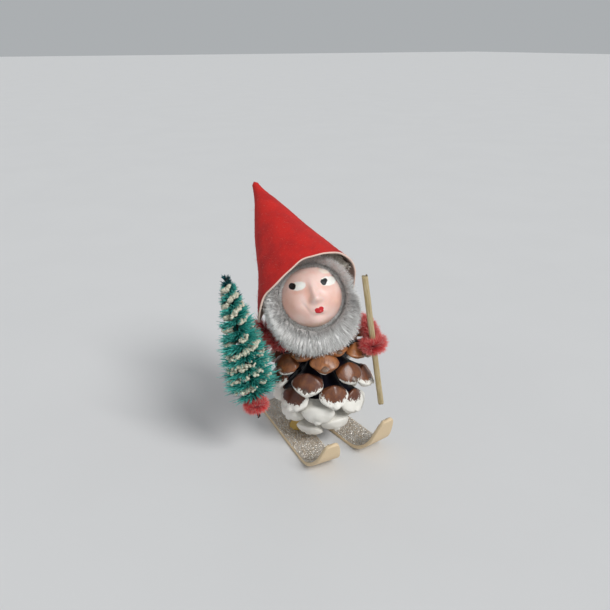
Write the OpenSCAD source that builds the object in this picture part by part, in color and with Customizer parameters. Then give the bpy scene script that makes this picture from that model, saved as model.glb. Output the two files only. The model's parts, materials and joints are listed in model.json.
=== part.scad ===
// Tomte on skis: a pine-cone gnome with a chenille beard and arms, a felt-faced cone hat,
// a bristle tree in one hand and a stick in the other. Millimetres, +Z up.
// The modules work from the cone's own axis. The last step moves the whole figure so that
// the origin sits on the floor under the middle of its outline. Forwards is -Y.

/* [Place] */
// Cone axis to the middle of the outline, across
axis_x = 8.3; // [0:0.1:20]
// Cone axis to the middle of the outline, along
axis_y = -2.1; // [-20:0.1:20]

/* [Skis] */
// Width of a ski strip
ski_w = 10.2; // [7:0.1:10.2]
// Thickness of the wooden strip
ski_t = 1.1; // [0.8:0.1:1.6]
// How far a ski reaches behind the cone axis
ski_back = 24; // [20:1:30]
// Where the tips begin to bend, ahead of the cone axis
ski_bend_at = 11.5; // [8:0.5:14]
// Radius of the bend, at the sole
ski_bend_r = 12.5; // [8:0.5:16]
// Angle that the tips turn up to
ski_bend_angle = 70; // [40:1:75]
// Straight end of the right ski beyond its bend
right_tip = 4.4; // [3:0.1:8]
// Straight end of the left ski beyond its bend
left_tip = 7.4; // [3:0.1:8]
// Thickness of the glitter coat
glitter_t = 0.3; // [0.2:0.05:0.6]

/* [Pine cone] */
// Height of the lowest scale
scale_first_z = 4.8; // [4:0.1:8]
// Rise from one scale to the next, below the shoulder of the cone
scale_rise = 1.0; // [0.95:0.01:1.1]
// Rise from one scale to the next, on the shoulder of the cone
scale_rise_top = 0.45; // [0.4:0.01:0.5]
// Radius of the woody core at its widest
core_r = 6.4; // [5:0.1:6.6]

/* [Head] */
// Radius of the head ball
head_r = 9; // [8.5:0.1:9.5]
// Thickness of the moulded face
mask_t = 1.0; // [0.8:0.1:1.4]
// Ring radius of the beard chenille
beard_ring_r = 10.2; // [10:0.1:11]
// Reach of the beard below the ring
beard_reach = 15.6; // [14:0.1:16]

/* [Hat] */
// Half angle of the hat's cone
hat_half_angle = 22.7; // [20:0.1:25]
// Thickness of the hat's wall
hat_wall = 0.8; // [0.5:0.1:1.2]

/* [Arms] */
// Radius of the chenille on the arms
arm_r = 2.1; // [1.6:0.1:2.2]
// Radius of the chenille round the neck
collar_r = 1.5; // [1.2:0.1:1.6]
// Radius of the twisted wire core
wire_r = 0.4; // [0.3:0.05:0.5]
// Radius of a chenille hand
hand_r = 2.5; // [2.3:0.1:2.8]

/* [Held pieces] */
// Radius of the ski stick
stick_r = 1.0; // [0.8:0.05:1.2]
// Length of the ski stick
stick_l = 46.6; // [44:0.1:50]
// Radius of the tree's wire
tree_wire_r = 0.6; // [0.5:0.05:0.8]
// Radius of the bristles near the foot of the tree
tree_r = 7.0; // [5:0.1:7.2]

/* [Hidden] */

round_fn = 64;     // true round surfaces
fit = 0.08;        // radial play of the stick and the tree's wire in the hands

// Skis: where each centre line passes the cone axis, and how far it toes out.
right_ski_x = -8.9;
left_ski_x = 7.1;
right_ski_toe = 3.5;
left_ski_toe = 6;

// Pine cone: scales follow the golden angle, counted from the lowest one up.
golden_angle = 180 * (3 - sqrt(5));
first_scale = 1;
shoulder_scale = 30;  // above this one the rise is smaller
last_scale = 41;
shoulder_bearing = -27;  // bearing of that scale, from the front towards +X
row_ends = [8, 17, 26, 34, last_scale];
core_top = 39.4;
core_profile = [[5, 2.6], [8, 4.6], [14, core_r], [31.4, core_r], [37.4, core_r - 1.2], [core_top, 3.6]];

// Head: its centre, and the turn of the face from looking along -Y.
head_at = [-4, 0, 51.5];
face_yaw = -24.6;
face_tilt = -24.2;
face_roll = -8;
mask_edge = 4.6;   // mask's cut edge ahead of the head's centre
beard_plane = 3.2; // beard ring ahead of the head's centre

// Hat: its tip, the middle of its opening, and the plane of the rim.
hat_tip = [-7.8, 31, 82.4];
hat_mouth = [-3.8, 1.1, 52];
rim_lean = 24.8;    // rim plane leans back from upright
rim_yaw = 4.4;      // and turns about the upright
hat_floor = 44.2;   // trimmed flat where it sits over the collar
tip_blunt = 1.3;    // radius of the pinched tip

// Arms: hand-placed routes of the one red stem, from the front of the neck to each hand.
collar_route = [[-17.4, 2.8, 41.4], [-16.8, -0.8, 38.6], [-12.5, -3.4, 39.6], [-7, -5, 40.6], [-1, -5.4, 41],
    [4.5, -4.6, 41.2], [8, -3.5, 41.5]];
right_route = [[-18, 4.6, 41.9], [-19.6, 6, 39.6], [-20.9, 6.2, 34], [-21.6, 5.8, 28], [-23, 4, 23],
    [-25.5, -1.2, 20.4]];
right_hand = [-26.4, -4.6, 21.4];
left_route = [[9.4, -4, 41.7], [11.6, -6.6, 41.8], [11.6, -11, 41], [10.2, -14.2, 39.4]];
left_hand = [9.5, -15.9, 38.6];

// Tree and stick: both lean, so each has the direction from its hand upwards.
tree_dir = unit([-4.4, 7.6, 40]);
tree_foot = 3.2;    // bristles begin this far above the hand
tree_l = 38.5;      // length of the bristled stretch
tree_stub = 4.5;    // bare wire below the hand
stick_dir = unit([-7.6, 1.8, 46]);
stick_low = 23.2;   // stick's foot below the hand

function unit(v) = v / norm(v);
function mix(a, b, t) = a + (b - a) * t;

// Bearing, height, reach and droop of the n-th scale.
function scale_bearing(n) = shoulder_bearing + golden_angle * (n - shoulder_scale);
function scale_z(n) = n <= shoulder_scale
    ? scale_first_z + scale_rise * (n - first_scale)
    : scale_z(shoulder_scale) + scale_rise_top * (n - shoulder_scale);
function scale_reach(n) = lookup(n, [[1, 9.8], [9, 14.5], [14, 17], [22, 18], [30, 17], [35, 15.4], [38, 13.6],
    [41, 11.6], [44, 10]]);
function scale_droop(n) = lookup(n, [[1, 56], [9, 46], [18, 30], [30, 15], [41, 4]]);
function core_radius(z) = lookup(z, core_profile);
function scale_half_w(n) = lookup(n, [[1, 3.6], [9, 4.4], [22, 4.7], [30, 4.6], [41, 3.6]]);
function scale_half_h(n) = lookup(n, [[1, 2.6], [14, 3.1], [26, 2.9], [34, 2.0], [41, 1.5]]);

// ---------- shared shapes ----------

// Turns a shape drawn along +Z so that it points along dir.
module aim(dir) {
    rotate([0, acos(dir[2] / norm(dir)), atan2(dir[1], dir[0])]) children();
}

// Places a shape drawn in the face's frame: +X its left, -Y ahead, +Z its crown.
module face_frame() {
    translate(head_at) rotate([0, 0, face_yaw]) rotate([face_tilt, 0, 0]) rotate([0, face_roll, 0])
        children();
}

// One point on a Catmull-Rom curve through the route's points, u from 0 to the last index.
function route_point(route, u) =
    let (last = len(route) - 1, i = min(floor(u), last - 1), t = u - i,
         p0 = i > 0 ? route[i - 1] : 2 * route[0] - route[1], p1 = route[i], p2 = route[i + 1],
         p3 = i + 2 <= last ? route[i + 2] : 2 * route[last] - route[last - 1])
    0.5 * (2 * p1 + (p2 - p0) * t + (2 * p0 - 5 * p1 + 4 * p2 - p3) * t * t
        + (3 * p1 - p0 - 3 * p2 + p3) * t * t * t);

// Tube of radius r along a route, as one closed mesh of rings, drawn in at both ends.
module tube(route, r, sides = 8, per_span = 4) {
    last = len(route) - 1;
    rings = last * per_span;
    drawn_in = [0.55, 0.9];
    points = [for (k = [0:rings])
        let (u = k / per_span, p = route_point(route, u),
             a = route_point(route, max(u - 0.05, 0)), b = route_point(route, min(u + 0.05, last)),
             t = unit(b - a), n1 = unit(cross(t, [0.13, 0.31, 1])), n2 = cross(t, n1),
             from_end = min(k, rings - k), rr = from_end < len(drawn_in) ? r * drawn_in[from_end] : r)
        for (s = [0:sides - 1]) p + rr * (cos(360 * s / sides) * n1 + sin(360 * s / sides) * n2)];
    walls = [for (k = [0:rings - 1], s = [0:sides - 1])
        let (a = k * sides + s, b = k * sides + (s + 1) % sides)
        [a, a + sides, b + sides, b]];
    foot = [for (s = [0:sides - 1]) s];
    head = [for (s = [sides - 1:-1:0]) rings * sides + s];
    polyhedron(points, concat([foot], walls, [head]));
}

// ---------- skis ----------

// Side line of a strip at height h above its sole, from its heel to the end of its tip.
function ski_edge(tip, h) = concat(
    [[-ski_back, h]],
    [for (i = [0:10])
        let (g = ski_bend_angle * i / 10)
        [ski_bend_at + (ski_bend_r - h) * sin(g), ski_bend_r - (ski_bend_r - h) * cos(g)]],
    [[ski_bend_at + (ski_bend_r - h) * sin(ski_bend_angle) + tip * cos(ski_bend_angle),
      ski_bend_r - (ski_bend_r - h) * cos(ski_bend_angle) + tip * sin(ski_bend_angle)]]);

function reversed(list) = [for (i = [len(list) - 1:-1:0]) list[i]];

// Outline of a ski from above: square heel, tongue-shaped tip.
function ski_outline(tip) =
    let (front = ski_bend_at + ski_bend_r * sin(ski_bend_angle) + tip * cos(ski_bend_angle),
         taper = 8.5, blunt = 1.5,
         side = [for (i = [0:9])
             let (t = i / 9) [front - taper * (1 - t),
                 mix(blunt, ski_w / 2, pow(max(1 - pow(t, 1.9), 0), 1 / 1.9))]])
    concat([[-ski_back, ski_w / 2]], side, [for (p = reversed(side)) [p[0], -p[1]]], [[-ski_back, -ski_w / 2]]);

// A layer of a ski between two heights above the sole.
module ski_layer(tip, low, high, x, toe) {
    translate([x, 0, 0]) rotate([0, 0, -90 + toe]) intersection() {
        rotate([90, 0, 0]) linear_extrude(height = ski_w + 2, center = true)
            polygon(concat(ski_edge(tip, low), reversed(ski_edge(tip, high))));
        translate([0, 0, -1]) linear_extrude(height = 40) polygon(ski_outline(tip));
    }
}

module ski_right() { color("burlywood") ski_layer(right_tip, 0, ski_t, right_ski_x, -right_ski_toe); }
module ski_left() { color("burlywood") ski_layer(left_tip, 0, ski_t, left_ski_x, left_ski_toe); }
module ski_right_glitter() {
    color("gainsboro") ski_layer(right_tip, ski_t, ski_t + glitter_t, right_ski_x, -right_ski_toe);
}
module ski_left_glitter() {
    color("gainsboro") ski_layer(left_tip, ski_t, ski_t + glitter_t, left_ski_x, left_ski_toe);
}

// Drop of set glue between a ski and the lowest scales.
module glue_drop(x, y) {
    translate([x, y, ski_t + glitter_t]) rotate_extrude($fn = round_fn)
        polygon([[0, 0], [3.6, 0], [3.1, 1.2], [2.3, 3], [1.9, 4.6], [0, 5]]);
}
module glue_right() { color("goldenrod") glue_drop(-6.2, 3.6); }
module glue_left() { color("goldenrod") glue_drop(5.6, 2.6); }

// ---------- pine cone ----------

module cone_axis() {
    color("saddlebrown") rotate_extrude($fn = round_fn)
        polygon(concat([[0, core_profile[0][0]]], [for (p = core_profile) [p[1], p[0]]], [[0, core_top]]));
}

// One scale: a narrow stalk that flares into a rounded shield at its outer end.
// Each station is [share of the way out, share of the half width, share of the half height].
module cone_scale(n) {
    stations = [[0, 0.30, 0.34], [0.42, 0.42, 0.30], [0.62, 0.72, 0.42], [0.80, 1, 0.92], [0.93, 0.86, 0.86],
                [1, 0.34, 0.30]];
    sides = 8;
    steep = tan(min(scale_droop(n), 50));
    high = scale_z(n) + (scale_reach(n) - core_r) * steep;
    root_r = max([for (z = [high - 3, high - 1.5, high, high + 1.5]) core_radius(z)]) + 0.12;
    run = scale_reach(n) - root_r;
    root_z = min(scale_z(n) + run * steep, core_top - 2.4);
    tilt = atan2(root_z - scale_z(n), run);
    points = [for (st = stations, s = [0:sides - 1])
        let (a = 360 * (s + 0.5) / sides, w = scale_half_w(n) * st[1], h = scale_half_h(n) * st[2],
             up = h * sin(a), lean = st[0] == 0 ? 0 : sin(tilt))
        [root_r + run * st[0] + up * lean, w * cos(a),
         mix(root_z, scale_z(n), st[0]) + up * (st[0] == 0 ? 1 : cos(tilt))]];
    count = len(stations);
    walls = [for (k = [0:count - 2], s = [0:sides - 1])
        let (a = k * sides + s, b = k * sides + (s + 1) % sides) [a, a + sides, b + sides, b]];
    root = [for (s = [0:sides - 1]) s];
    shield = [for (s = [sides - 1:-1:0]) (count - 1) * sides + s];
    rotate([0, 0, scale_bearing(n) - 90]) polyhedron(points, concat([root], walls, [shield]));
}

module scale_row(row, tint) {
    start = row == 0 ? first_scale : row_ends[row - 1] + 1;
    color(tint) for (n = [start:row_ends[row]]) cone_scale(n);
}
module scales_bottom() { scale_row(0, "white"); }
module scales_lower() { scale_row(1, "ivory"); }
module scales_middle() { scale_row(2, "rosybrown"); }
module scales_upper() { scale_row(3, "sienna"); }
module scales_top() { scale_row(4, "peru"); }

// ---------- head ----------

module neck_glue() {
    color("goldenrod") difference() {
        translate([-1.2, 0, core_top]) cylinder(r1 = 3.4, r2 = 4.2, h = 5.2, $fn = round_fn);
        translate(head_at) sphere(r = head_r, $fn = round_fn);
    }
}

module head_ball() { color("antiquewhite") translate(head_at) sphere(r = head_r, $fn = round_fn); }

// Half space ahead of a plane across the face's looking direction.
module ahead_of(distance) {
    translate([-30, -60 - distance, -30]) cube([60, 60, 60]);
}

module face_mask() {
    color("mistyrose") face_frame() {
        difference() {
            union() {
                intersection() {
                    sphere(r = head_r + mask_t, $fn = round_fn);
                    ahead_of(mask_edge);
                }
                translate([0, -head_r - 0.7, -1.4]) sphere(r = 1.5, $fn = 32);
            }
            sphere(r = head_r, $fn = round_fn);
        }
    }
}

module beard_wire() {
    color("dimgray") face_frame() translate([0, -beard_plane, 0]) rotate([90, 0, 0])
        rotate_extrude($fn = round_fn) translate([beard_ring_r, 0]) circle(r = wire_r, $fn = 16);
}

// Ring of pile round the face, with a longer bib below the chin.
module beard_pile() {
    bib_from = 220;
    bib_sweep = 100;
    color("whitesmoke") face_frame() difference() {
        translate([0, -beard_plane, 0]) rotate([90, 0, 0]) union() {
            rotate_extrude($fn = round_fn) translate([beard_ring_r, 0]) circle(r = 2.5, $fn = 32);
            rotate([0, 0, bib_from]) rotate_extrude(angle = bib_sweep, $fn = round_fn)
                polygon([[beard_ring_r, -2.2], [beard_reach - 3, -1.6], [beard_reach, -0.2],
                         [beard_reach - 1, 1.4], [beard_ring_r + 2, 2.4], [beard_ring_r, 2.4]]);
        }
        sphere(r = head_r + mask_t, $fn = round_fn);
    }
}

// ---------- hat ----------

hat_axis = unit(hat_tip - hat_mouth);
hat_depth = 60;

// Solid cone from the hat's tip, drawn point up along the hat's axis.
module hat_cone(inset) {
    back = inset / sin(hat_half_angle);
    translate(hat_tip) aim(hat_axis)
        translate([0, 0, -hat_depth])
            cylinder(r1 = (hat_depth - back) * tan(hat_half_angle), r2 = 0, h = hat_depth - back, $fn = 96);
}

// Everything behind the plane of the rim and above the collar.
module behind_rim() {
    intersection() {
        translate(hat_mouth) rotate([0, 0, rim_yaw]) rotate([rim_lean, 0, 0])
            translate([-60, 0, -60]) cube([120, 120, 120]);
        translate([-60, -60, hat_floor]) cube([120, 120, 60]);
    }
}

module hat() {
    blunt_back = tip_blunt / sin(hat_half_angle);
    color("firebrick") intersection() {
        difference() {
            union() {
                difference() {
                    hat_cone(0);
                    translate(hat_tip) aim(hat_axis) translate([0, 0, -blunt_back * cos(hat_half_angle)])
                        cylinder(r = 8, h = 12, $fn = 32);
                }
                translate(hat_tip - hat_axis * blunt_back) sphere(r = tip_blunt, $fn = 32);
            }
            hat_cone(hat_wall);
        }
        behind_rim();
    }
}

// Loose wadding that fills the hat between its wall and the head ball.
module hat_wadding() {
    near = 15;
    far = 40;
    play = hat_wall + 0.05;
    color("snow") difference() {
        translate(hat_tip) aim(hat_axis) translate([0, 0, -far])
            cylinder(r1 = far * tan(hat_half_angle) - play / cos(hat_half_angle),
                     r2 = near * tan(hat_half_angle) - play / cos(hat_half_angle), h = far - near, $fn = 96);
        translate(head_at) sphere(r = head_r, $fn = round_fn);
        face_frame() ahead_of(0);
        translate([-60, -60, -60]) cube([120, 120, 60 + hat_floor + 0.6]);
    }
}

// ---------- arms ----------

module collar_wire() { color("dimgray") tube(collar_route, wire_r, sides = 6); }
module collar_pile() { color("crimson") tube(collar_route, collar_r); }

// Wire loop of a hand round what it holds.
module hand_loop(at, dir, held_r) {
    translate(at) aim(dir) rotate_extrude($fn = 48) translate([held_r + wire_r + 0.35, 0])
        circle(r = wire_r * 0.8, $fn = 16);
}

// Pile of an arm, ending in a ball that is bored for what it holds.
module arm_pile(route, at, dir, held_r) {
    difference() {
        union() {
            tube(route, arm_r);
            translate(at) sphere(r = hand_r, $fn = 48);
        }
        translate(at) aim(dir) cylinder(r = held_r + fit, h = 12, center = true, $fn = 48);
    }
}

module arm_right_wire() {
    color("dimgray") {
        tube(right_route, wire_r, sides = 6);
        hand_loop(right_hand, tree_dir, tree_wire_r);
    }
}
module arm_right_pile() { color("crimson") arm_pile(right_route, right_hand, tree_dir, tree_wire_r); }
module arm_left_wire() {
    color("dimgray") {
        tube(left_route, wire_r, sides = 6);
        hand_loop(left_hand, stick_dir, stick_r);
    }
}
module arm_left_pile() { color("crimson") arm_pile(left_route, left_hand, stick_dir, stick_r); }

// ---------- held pieces ----------

module tree_wire() {
    color("dimgray") translate(right_hand) aim(tree_dir) translate([0, 0, -tree_stub])
        cylinder(r = tree_wire_r, h = tree_stub + tree_foot + tree_l, $fn = 32);
}

// Envelope of the bristles, widest a quarter of the way up.
module tree_bristles() {
    color("darkcyan") translate(right_hand) aim(tree_dir) translate([0, 0, tree_foot])
        rotate_extrude($fn = round_fn)
            polygon([[tree_wire_r, 0], [tree_r - 1.2, 0.6], [tree_r, 4], [tree_r - 0.2, 11], [tree_r * 0.72, 21],
                     [tree_r * 0.45, 31], [1.4, tree_l], [tree_wire_r, tree_l]]);
}

// Clumps of artificial snow on the bristle ends, in loose turns up the tree.
module tree_snow() {
    clumps = 16;
    color("white") translate(right_hand) aim(tree_dir) for (i = [0:clumps - 1])
        let (h = tree_foot + 3 + i * 2.05, r = lookup(h - tree_foot, [[0, tree_r - 1], [11, tree_r - 1.2],
                 [21, tree_r * 0.72 - 0.8], [31, tree_r * 0.45 - 0.6], [tree_l, 1.2]]))
            rotate([0, 0, golden_angle * i]) translate([r, 0, h]) sphere(r = 1.1, $fn = 20);
}

module ski_stick() {
    color("tan") translate(left_hand - stick_dir * stick_low) aim(stick_dir)
        cylinder(r = stick_r, h = stick_l, $fn = 48);
}

// ---------- whole figure ----------

module placed() { translate([axis_x, axis_y, 0]) children(); }

placed() ski_right();
placed() ski_left();
placed() ski_right_glitter();
placed() ski_left_glitter();
placed() glue_right();
placed() glue_left();
placed() cone_axis();
placed() scales_bottom();
placed() scales_lower();
placed() scales_middle();
placed() scales_upper();
placed() scales_top();
placed() neck_glue();
placed() head_ball();
placed() face_mask();
placed() beard_wire();
placed() beard_pile();
placed() hat_wadding();
placed() hat();
placed() collar_wire();
placed() collar_pile();
placed() arm_right_wire();
placed() arm_right_pile();
placed() tree_wire();
placed() tree_bristles();
placed() tree_snow();
placed() arm_left_wire();
placed() arm_left_pile();
placed() ski_stick();
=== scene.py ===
"""The looks of a pine-cone tomte on skis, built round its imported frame.

Sizes are in millimetres from the pine cone's own axis, which is how the frame's design has them. A draft is
turned into metres in the frame when it becomes a mesh. Forwards is -Y, and the tomte's left hand is +X.
"""

from __future__ import annotations

import json
import logging
import math
import random
from dataclasses import dataclass, field
from enum import Enum

import bmesh
import bpy
import numpy as np
from mathutils import Matrix, Vector, noise

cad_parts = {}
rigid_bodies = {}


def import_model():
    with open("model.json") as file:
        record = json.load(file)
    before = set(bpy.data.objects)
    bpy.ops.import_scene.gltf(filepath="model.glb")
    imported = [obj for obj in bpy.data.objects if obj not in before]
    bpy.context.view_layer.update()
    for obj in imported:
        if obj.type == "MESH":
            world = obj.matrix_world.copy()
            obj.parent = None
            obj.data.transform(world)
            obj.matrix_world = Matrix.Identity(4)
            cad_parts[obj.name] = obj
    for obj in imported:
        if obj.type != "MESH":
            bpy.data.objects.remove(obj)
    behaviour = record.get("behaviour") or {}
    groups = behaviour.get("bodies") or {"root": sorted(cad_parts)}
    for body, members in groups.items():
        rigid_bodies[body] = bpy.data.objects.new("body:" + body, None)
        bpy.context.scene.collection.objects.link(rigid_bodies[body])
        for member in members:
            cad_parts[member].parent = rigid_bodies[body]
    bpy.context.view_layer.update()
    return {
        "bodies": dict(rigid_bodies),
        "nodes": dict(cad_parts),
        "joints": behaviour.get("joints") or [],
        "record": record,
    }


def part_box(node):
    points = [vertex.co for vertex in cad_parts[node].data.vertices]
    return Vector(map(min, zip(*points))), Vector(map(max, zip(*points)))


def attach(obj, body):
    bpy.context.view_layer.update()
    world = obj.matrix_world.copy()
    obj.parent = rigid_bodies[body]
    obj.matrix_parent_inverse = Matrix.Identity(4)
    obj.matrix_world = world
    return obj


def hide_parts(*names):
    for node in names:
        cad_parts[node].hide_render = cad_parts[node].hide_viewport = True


log = logging.getLogger("tomte")

MM = 0.001
TURN = 2 * math.pi
GOLDEN_ANGLE = math.pi * (3 - math.sqrt(5))
QUICK_SHARE = 0.45


class Body(Enum):
    """The frame's moving bodies."""

    ROOT = "root"
    ARM_RIGHT = "arm_right"
    TREE = "tree"
    ARM_LEFT = "arm_left"
    STICK = "stick"


# ---------------------------------------------------------------- small sums


def rgb(code: str) -> tuple[float, float, float, float]:
    """Turns a hex colour into the linear colour that shaders take."""
    parts = [int(code[i : i + 2], 16) / 255 for i in (0, 2, 4)]
    linear = [p / 12.92 if p <= 0.04045 else ((p + 0.055) / 1.055) ** 2.4 for p in parts]
    return (*linear, 1.0)


def unit(vector) -> np.ndarray:
    """Returns the vector at length one."""
    vector = np.asarray(vector, float)
    return vector / np.linalg.norm(vector)


def smooth(low: float, high: float, value) -> np.ndarray:
    """Rises smoothly from 0 at low to 1 at high."""
    share = np.clip((np.asarray(value, float) - low) / (high - low), 0, 1)
    return share * share * (3 - 2 * share)


def hill(x, z, at: tuple[float, float], wide: tuple[float, float], turn: float = 0.0) -> np.ndarray:
    """A round hill of height one.

    Args:
        x, z: where it is asked for.
        at: its top.
        wide: its spread along each of its own axes.
        turn: how far those axes are turned, in degrees.

    Returns:
        The hill's height at each point.
    """
    cos, sin = math.cos(math.radians(turn)), math.sin(math.radians(turn))
    dx, dz = np.asarray(x) - at[0], np.asarray(z) - at[1]
    along, across = dx * cos + dz * sin, -dx * sin + dz * cos
    return np.exp(-((along / wide[0]) ** 2) - (across / wide[1]) ** 2)


def rough(point, scale: float, seed: float = 0.0) -> float:
    """Noise from -1 to 1 at a point, with features of the given size."""
    x, y, z = (float(part) for part in point)
    return noise.noise(Vector((x + seed, y - seed, z + 2 * seed)) / scale)


def curve_through(route: list, per_span: int = 12) -> np.ndarray:
    """A smooth curve through a route's points.

    Args:
        route: the points.
        per_span: how many points it gives between each two of them.

    Returns:
        The curve's points, ends included.
    """
    p = np.array(route, float)
    p = np.vstack([2 * p[0] - p[1], p, 2 * p[-1] - p[-2]])
    out = []
    for i in range(1, len(p) - 2):
        for t in np.linspace(0, 1, per_span, endpoint=False):
            a, b, c, d = p[i - 1 : i + 3]
            square, cube = 2 * a - 5 * b + 4 * c - d, 3 * b - a - 3 * c + d
            out.append(0.5 * (2 * b + (c - a) * t + square * t**2 + cube * t**3))
    return np.array(out + [p[-2]])


def tangents(points: np.ndarray, closed: bool = False) -> np.ndarray:
    """The direction of travel at each point of a path."""
    ahead, behind = np.roll(points, -1, 0), np.roll(points, 1, 0)
    if not closed:
        ahead[-1], behind[0] = points[-1], points[0]
    steps = ahead - behind
    return steps / np.linalg.norm(steps, axis=1, keepdims=True)


def carried_normals(points: np.ndarray) -> np.ndarray:
    """Directions square to an open path that turn with it as little as they can."""
    along = tangents(points)
    normal = np.cross(along[0], [0.13, 0.31, 1.0])
    out = []
    for direction in along:
        normal = unit(normal - direction * normal.dot(direction))
        out.append(normal)
    return np.array(out)


def round_way(first: np.ndarray, second: np.ndarray, angle: float) -> np.ndarray:
    """The direction at an angle from one of two square directions towards the other."""
    return first * math.cos(angle) + second * math.sin(angle)


def end_faces(rows: int, sides: int) -> list[tuple[int, ...]]:
    """Flat ends for walls that ring_faces gives."""
    return [tuple(range(sides)), tuple(range((rows - 1) * sides, rows * sides))]


def ring_faces(rows: int, sides: int, base: int = 0, flip: bool = False) -> list[tuple[int, ...]]:
    """Walls between closed rings of corners that follow each other in a list."""
    faces = []
    for row in range(rows - 1):
        for side in range(sides):
            a, b = base + row * sides + side, base + row * sides + (side + 1) % sides
            face = (a, b, b + sides, a + sides)
            faces.append(face[::-1] if flip else face)
    return faces


@dataclass
class Draft:
    """Corners and faces of a mesh in the making, with named values for each corner."""

    points: list = field(default_factory=list)
    faces: list = field(default_factory=list)
    edges: list = field(default_factory=list)
    values: dict[str, list] = field(default_factory=dict)

    def add(self, points, faces=(), **values) -> int:
        """Adds corners and the faces between them.

        Args:
            points: the corners, in millimetres.
            faces: their numbers, counted from the first of these corners.
            values: one number or vector a corner, by name.

        Returns:
            The number of the first corner in the whole draft.
        """
        base = len(self.points)
        self.points.extend(points)
        self.faces.extend(tuple(i + base for i in face) for face in faces)
        for name, given in values.items():
            self.values.setdefault(name, []).extend(given)
        return base


# ---------------------------------------------------------------- node trees


class Sheet:
    """A node tree being drawn: puts nodes on it and joins their sockets."""

    def __init__(self, tree: bpy.types.NodeTree) -> None:
        """Starts on a tree."""
        self.tree = tree

    @staticmethod
    def socket(sockets, key: int | str):
        """Finds a socket by its number, or the one in use that has a name."""
        if isinstance(key, int):
            return sockets[key]
        return next(s for s in sockets if s.name == key and s.enabled)

    def put(self, kind: str, inputs: dict | None = None, **settings) -> bpy.types.Node:
        """Puts one node down.

        Args:
            kind: the node's type.
            inputs: a value, a node or a socket for each input, by name or number.
            settings: the node's own options.

        Returns:
            The node.
        """
        node = self.tree.nodes.new(kind)
        for key, value in settings.items():
            setattr(node, key, value)
        for key, value in (inputs or {}).items():
            target = self.socket(node.inputs, key)
            if isinstance(value, bpy.types.Node):
                value = next(s for s in value.outputs if s.enabled)
            if isinstance(value, bpy.types.NodeSocket):
                self.tree.links.new(value, target)
            else:
                target.default_value = value
        return node

    def sum(self, operation: str, *values, clamp: bool = False) -> bpy.types.NodeSocket:
        """A sum on numbers."""
        node = self.put("ShaderNodeMath", dict(enumerate(values)), operation=operation, use_clamp=clamp)
        return node.outputs[0]

    def vector(self, operation: str, *values, scale=None) -> bpy.types.NodeSocket:
        """A sum on vectors."""
        node = self.put("ShaderNodeVectorMath", dict(enumerate(values)), operation=operation)
        if scale is not None:
            if isinstance(scale, bpy.types.NodeSocket):
                self.tree.links.new(scale, node.inputs["Scale"])
            else:
                node.inputs["Scale"].default_value = scale
        return node.outputs[1 if operation in ("LENGTH", "DISTANCE", "DOT_PRODUCT") else 0]


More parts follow.
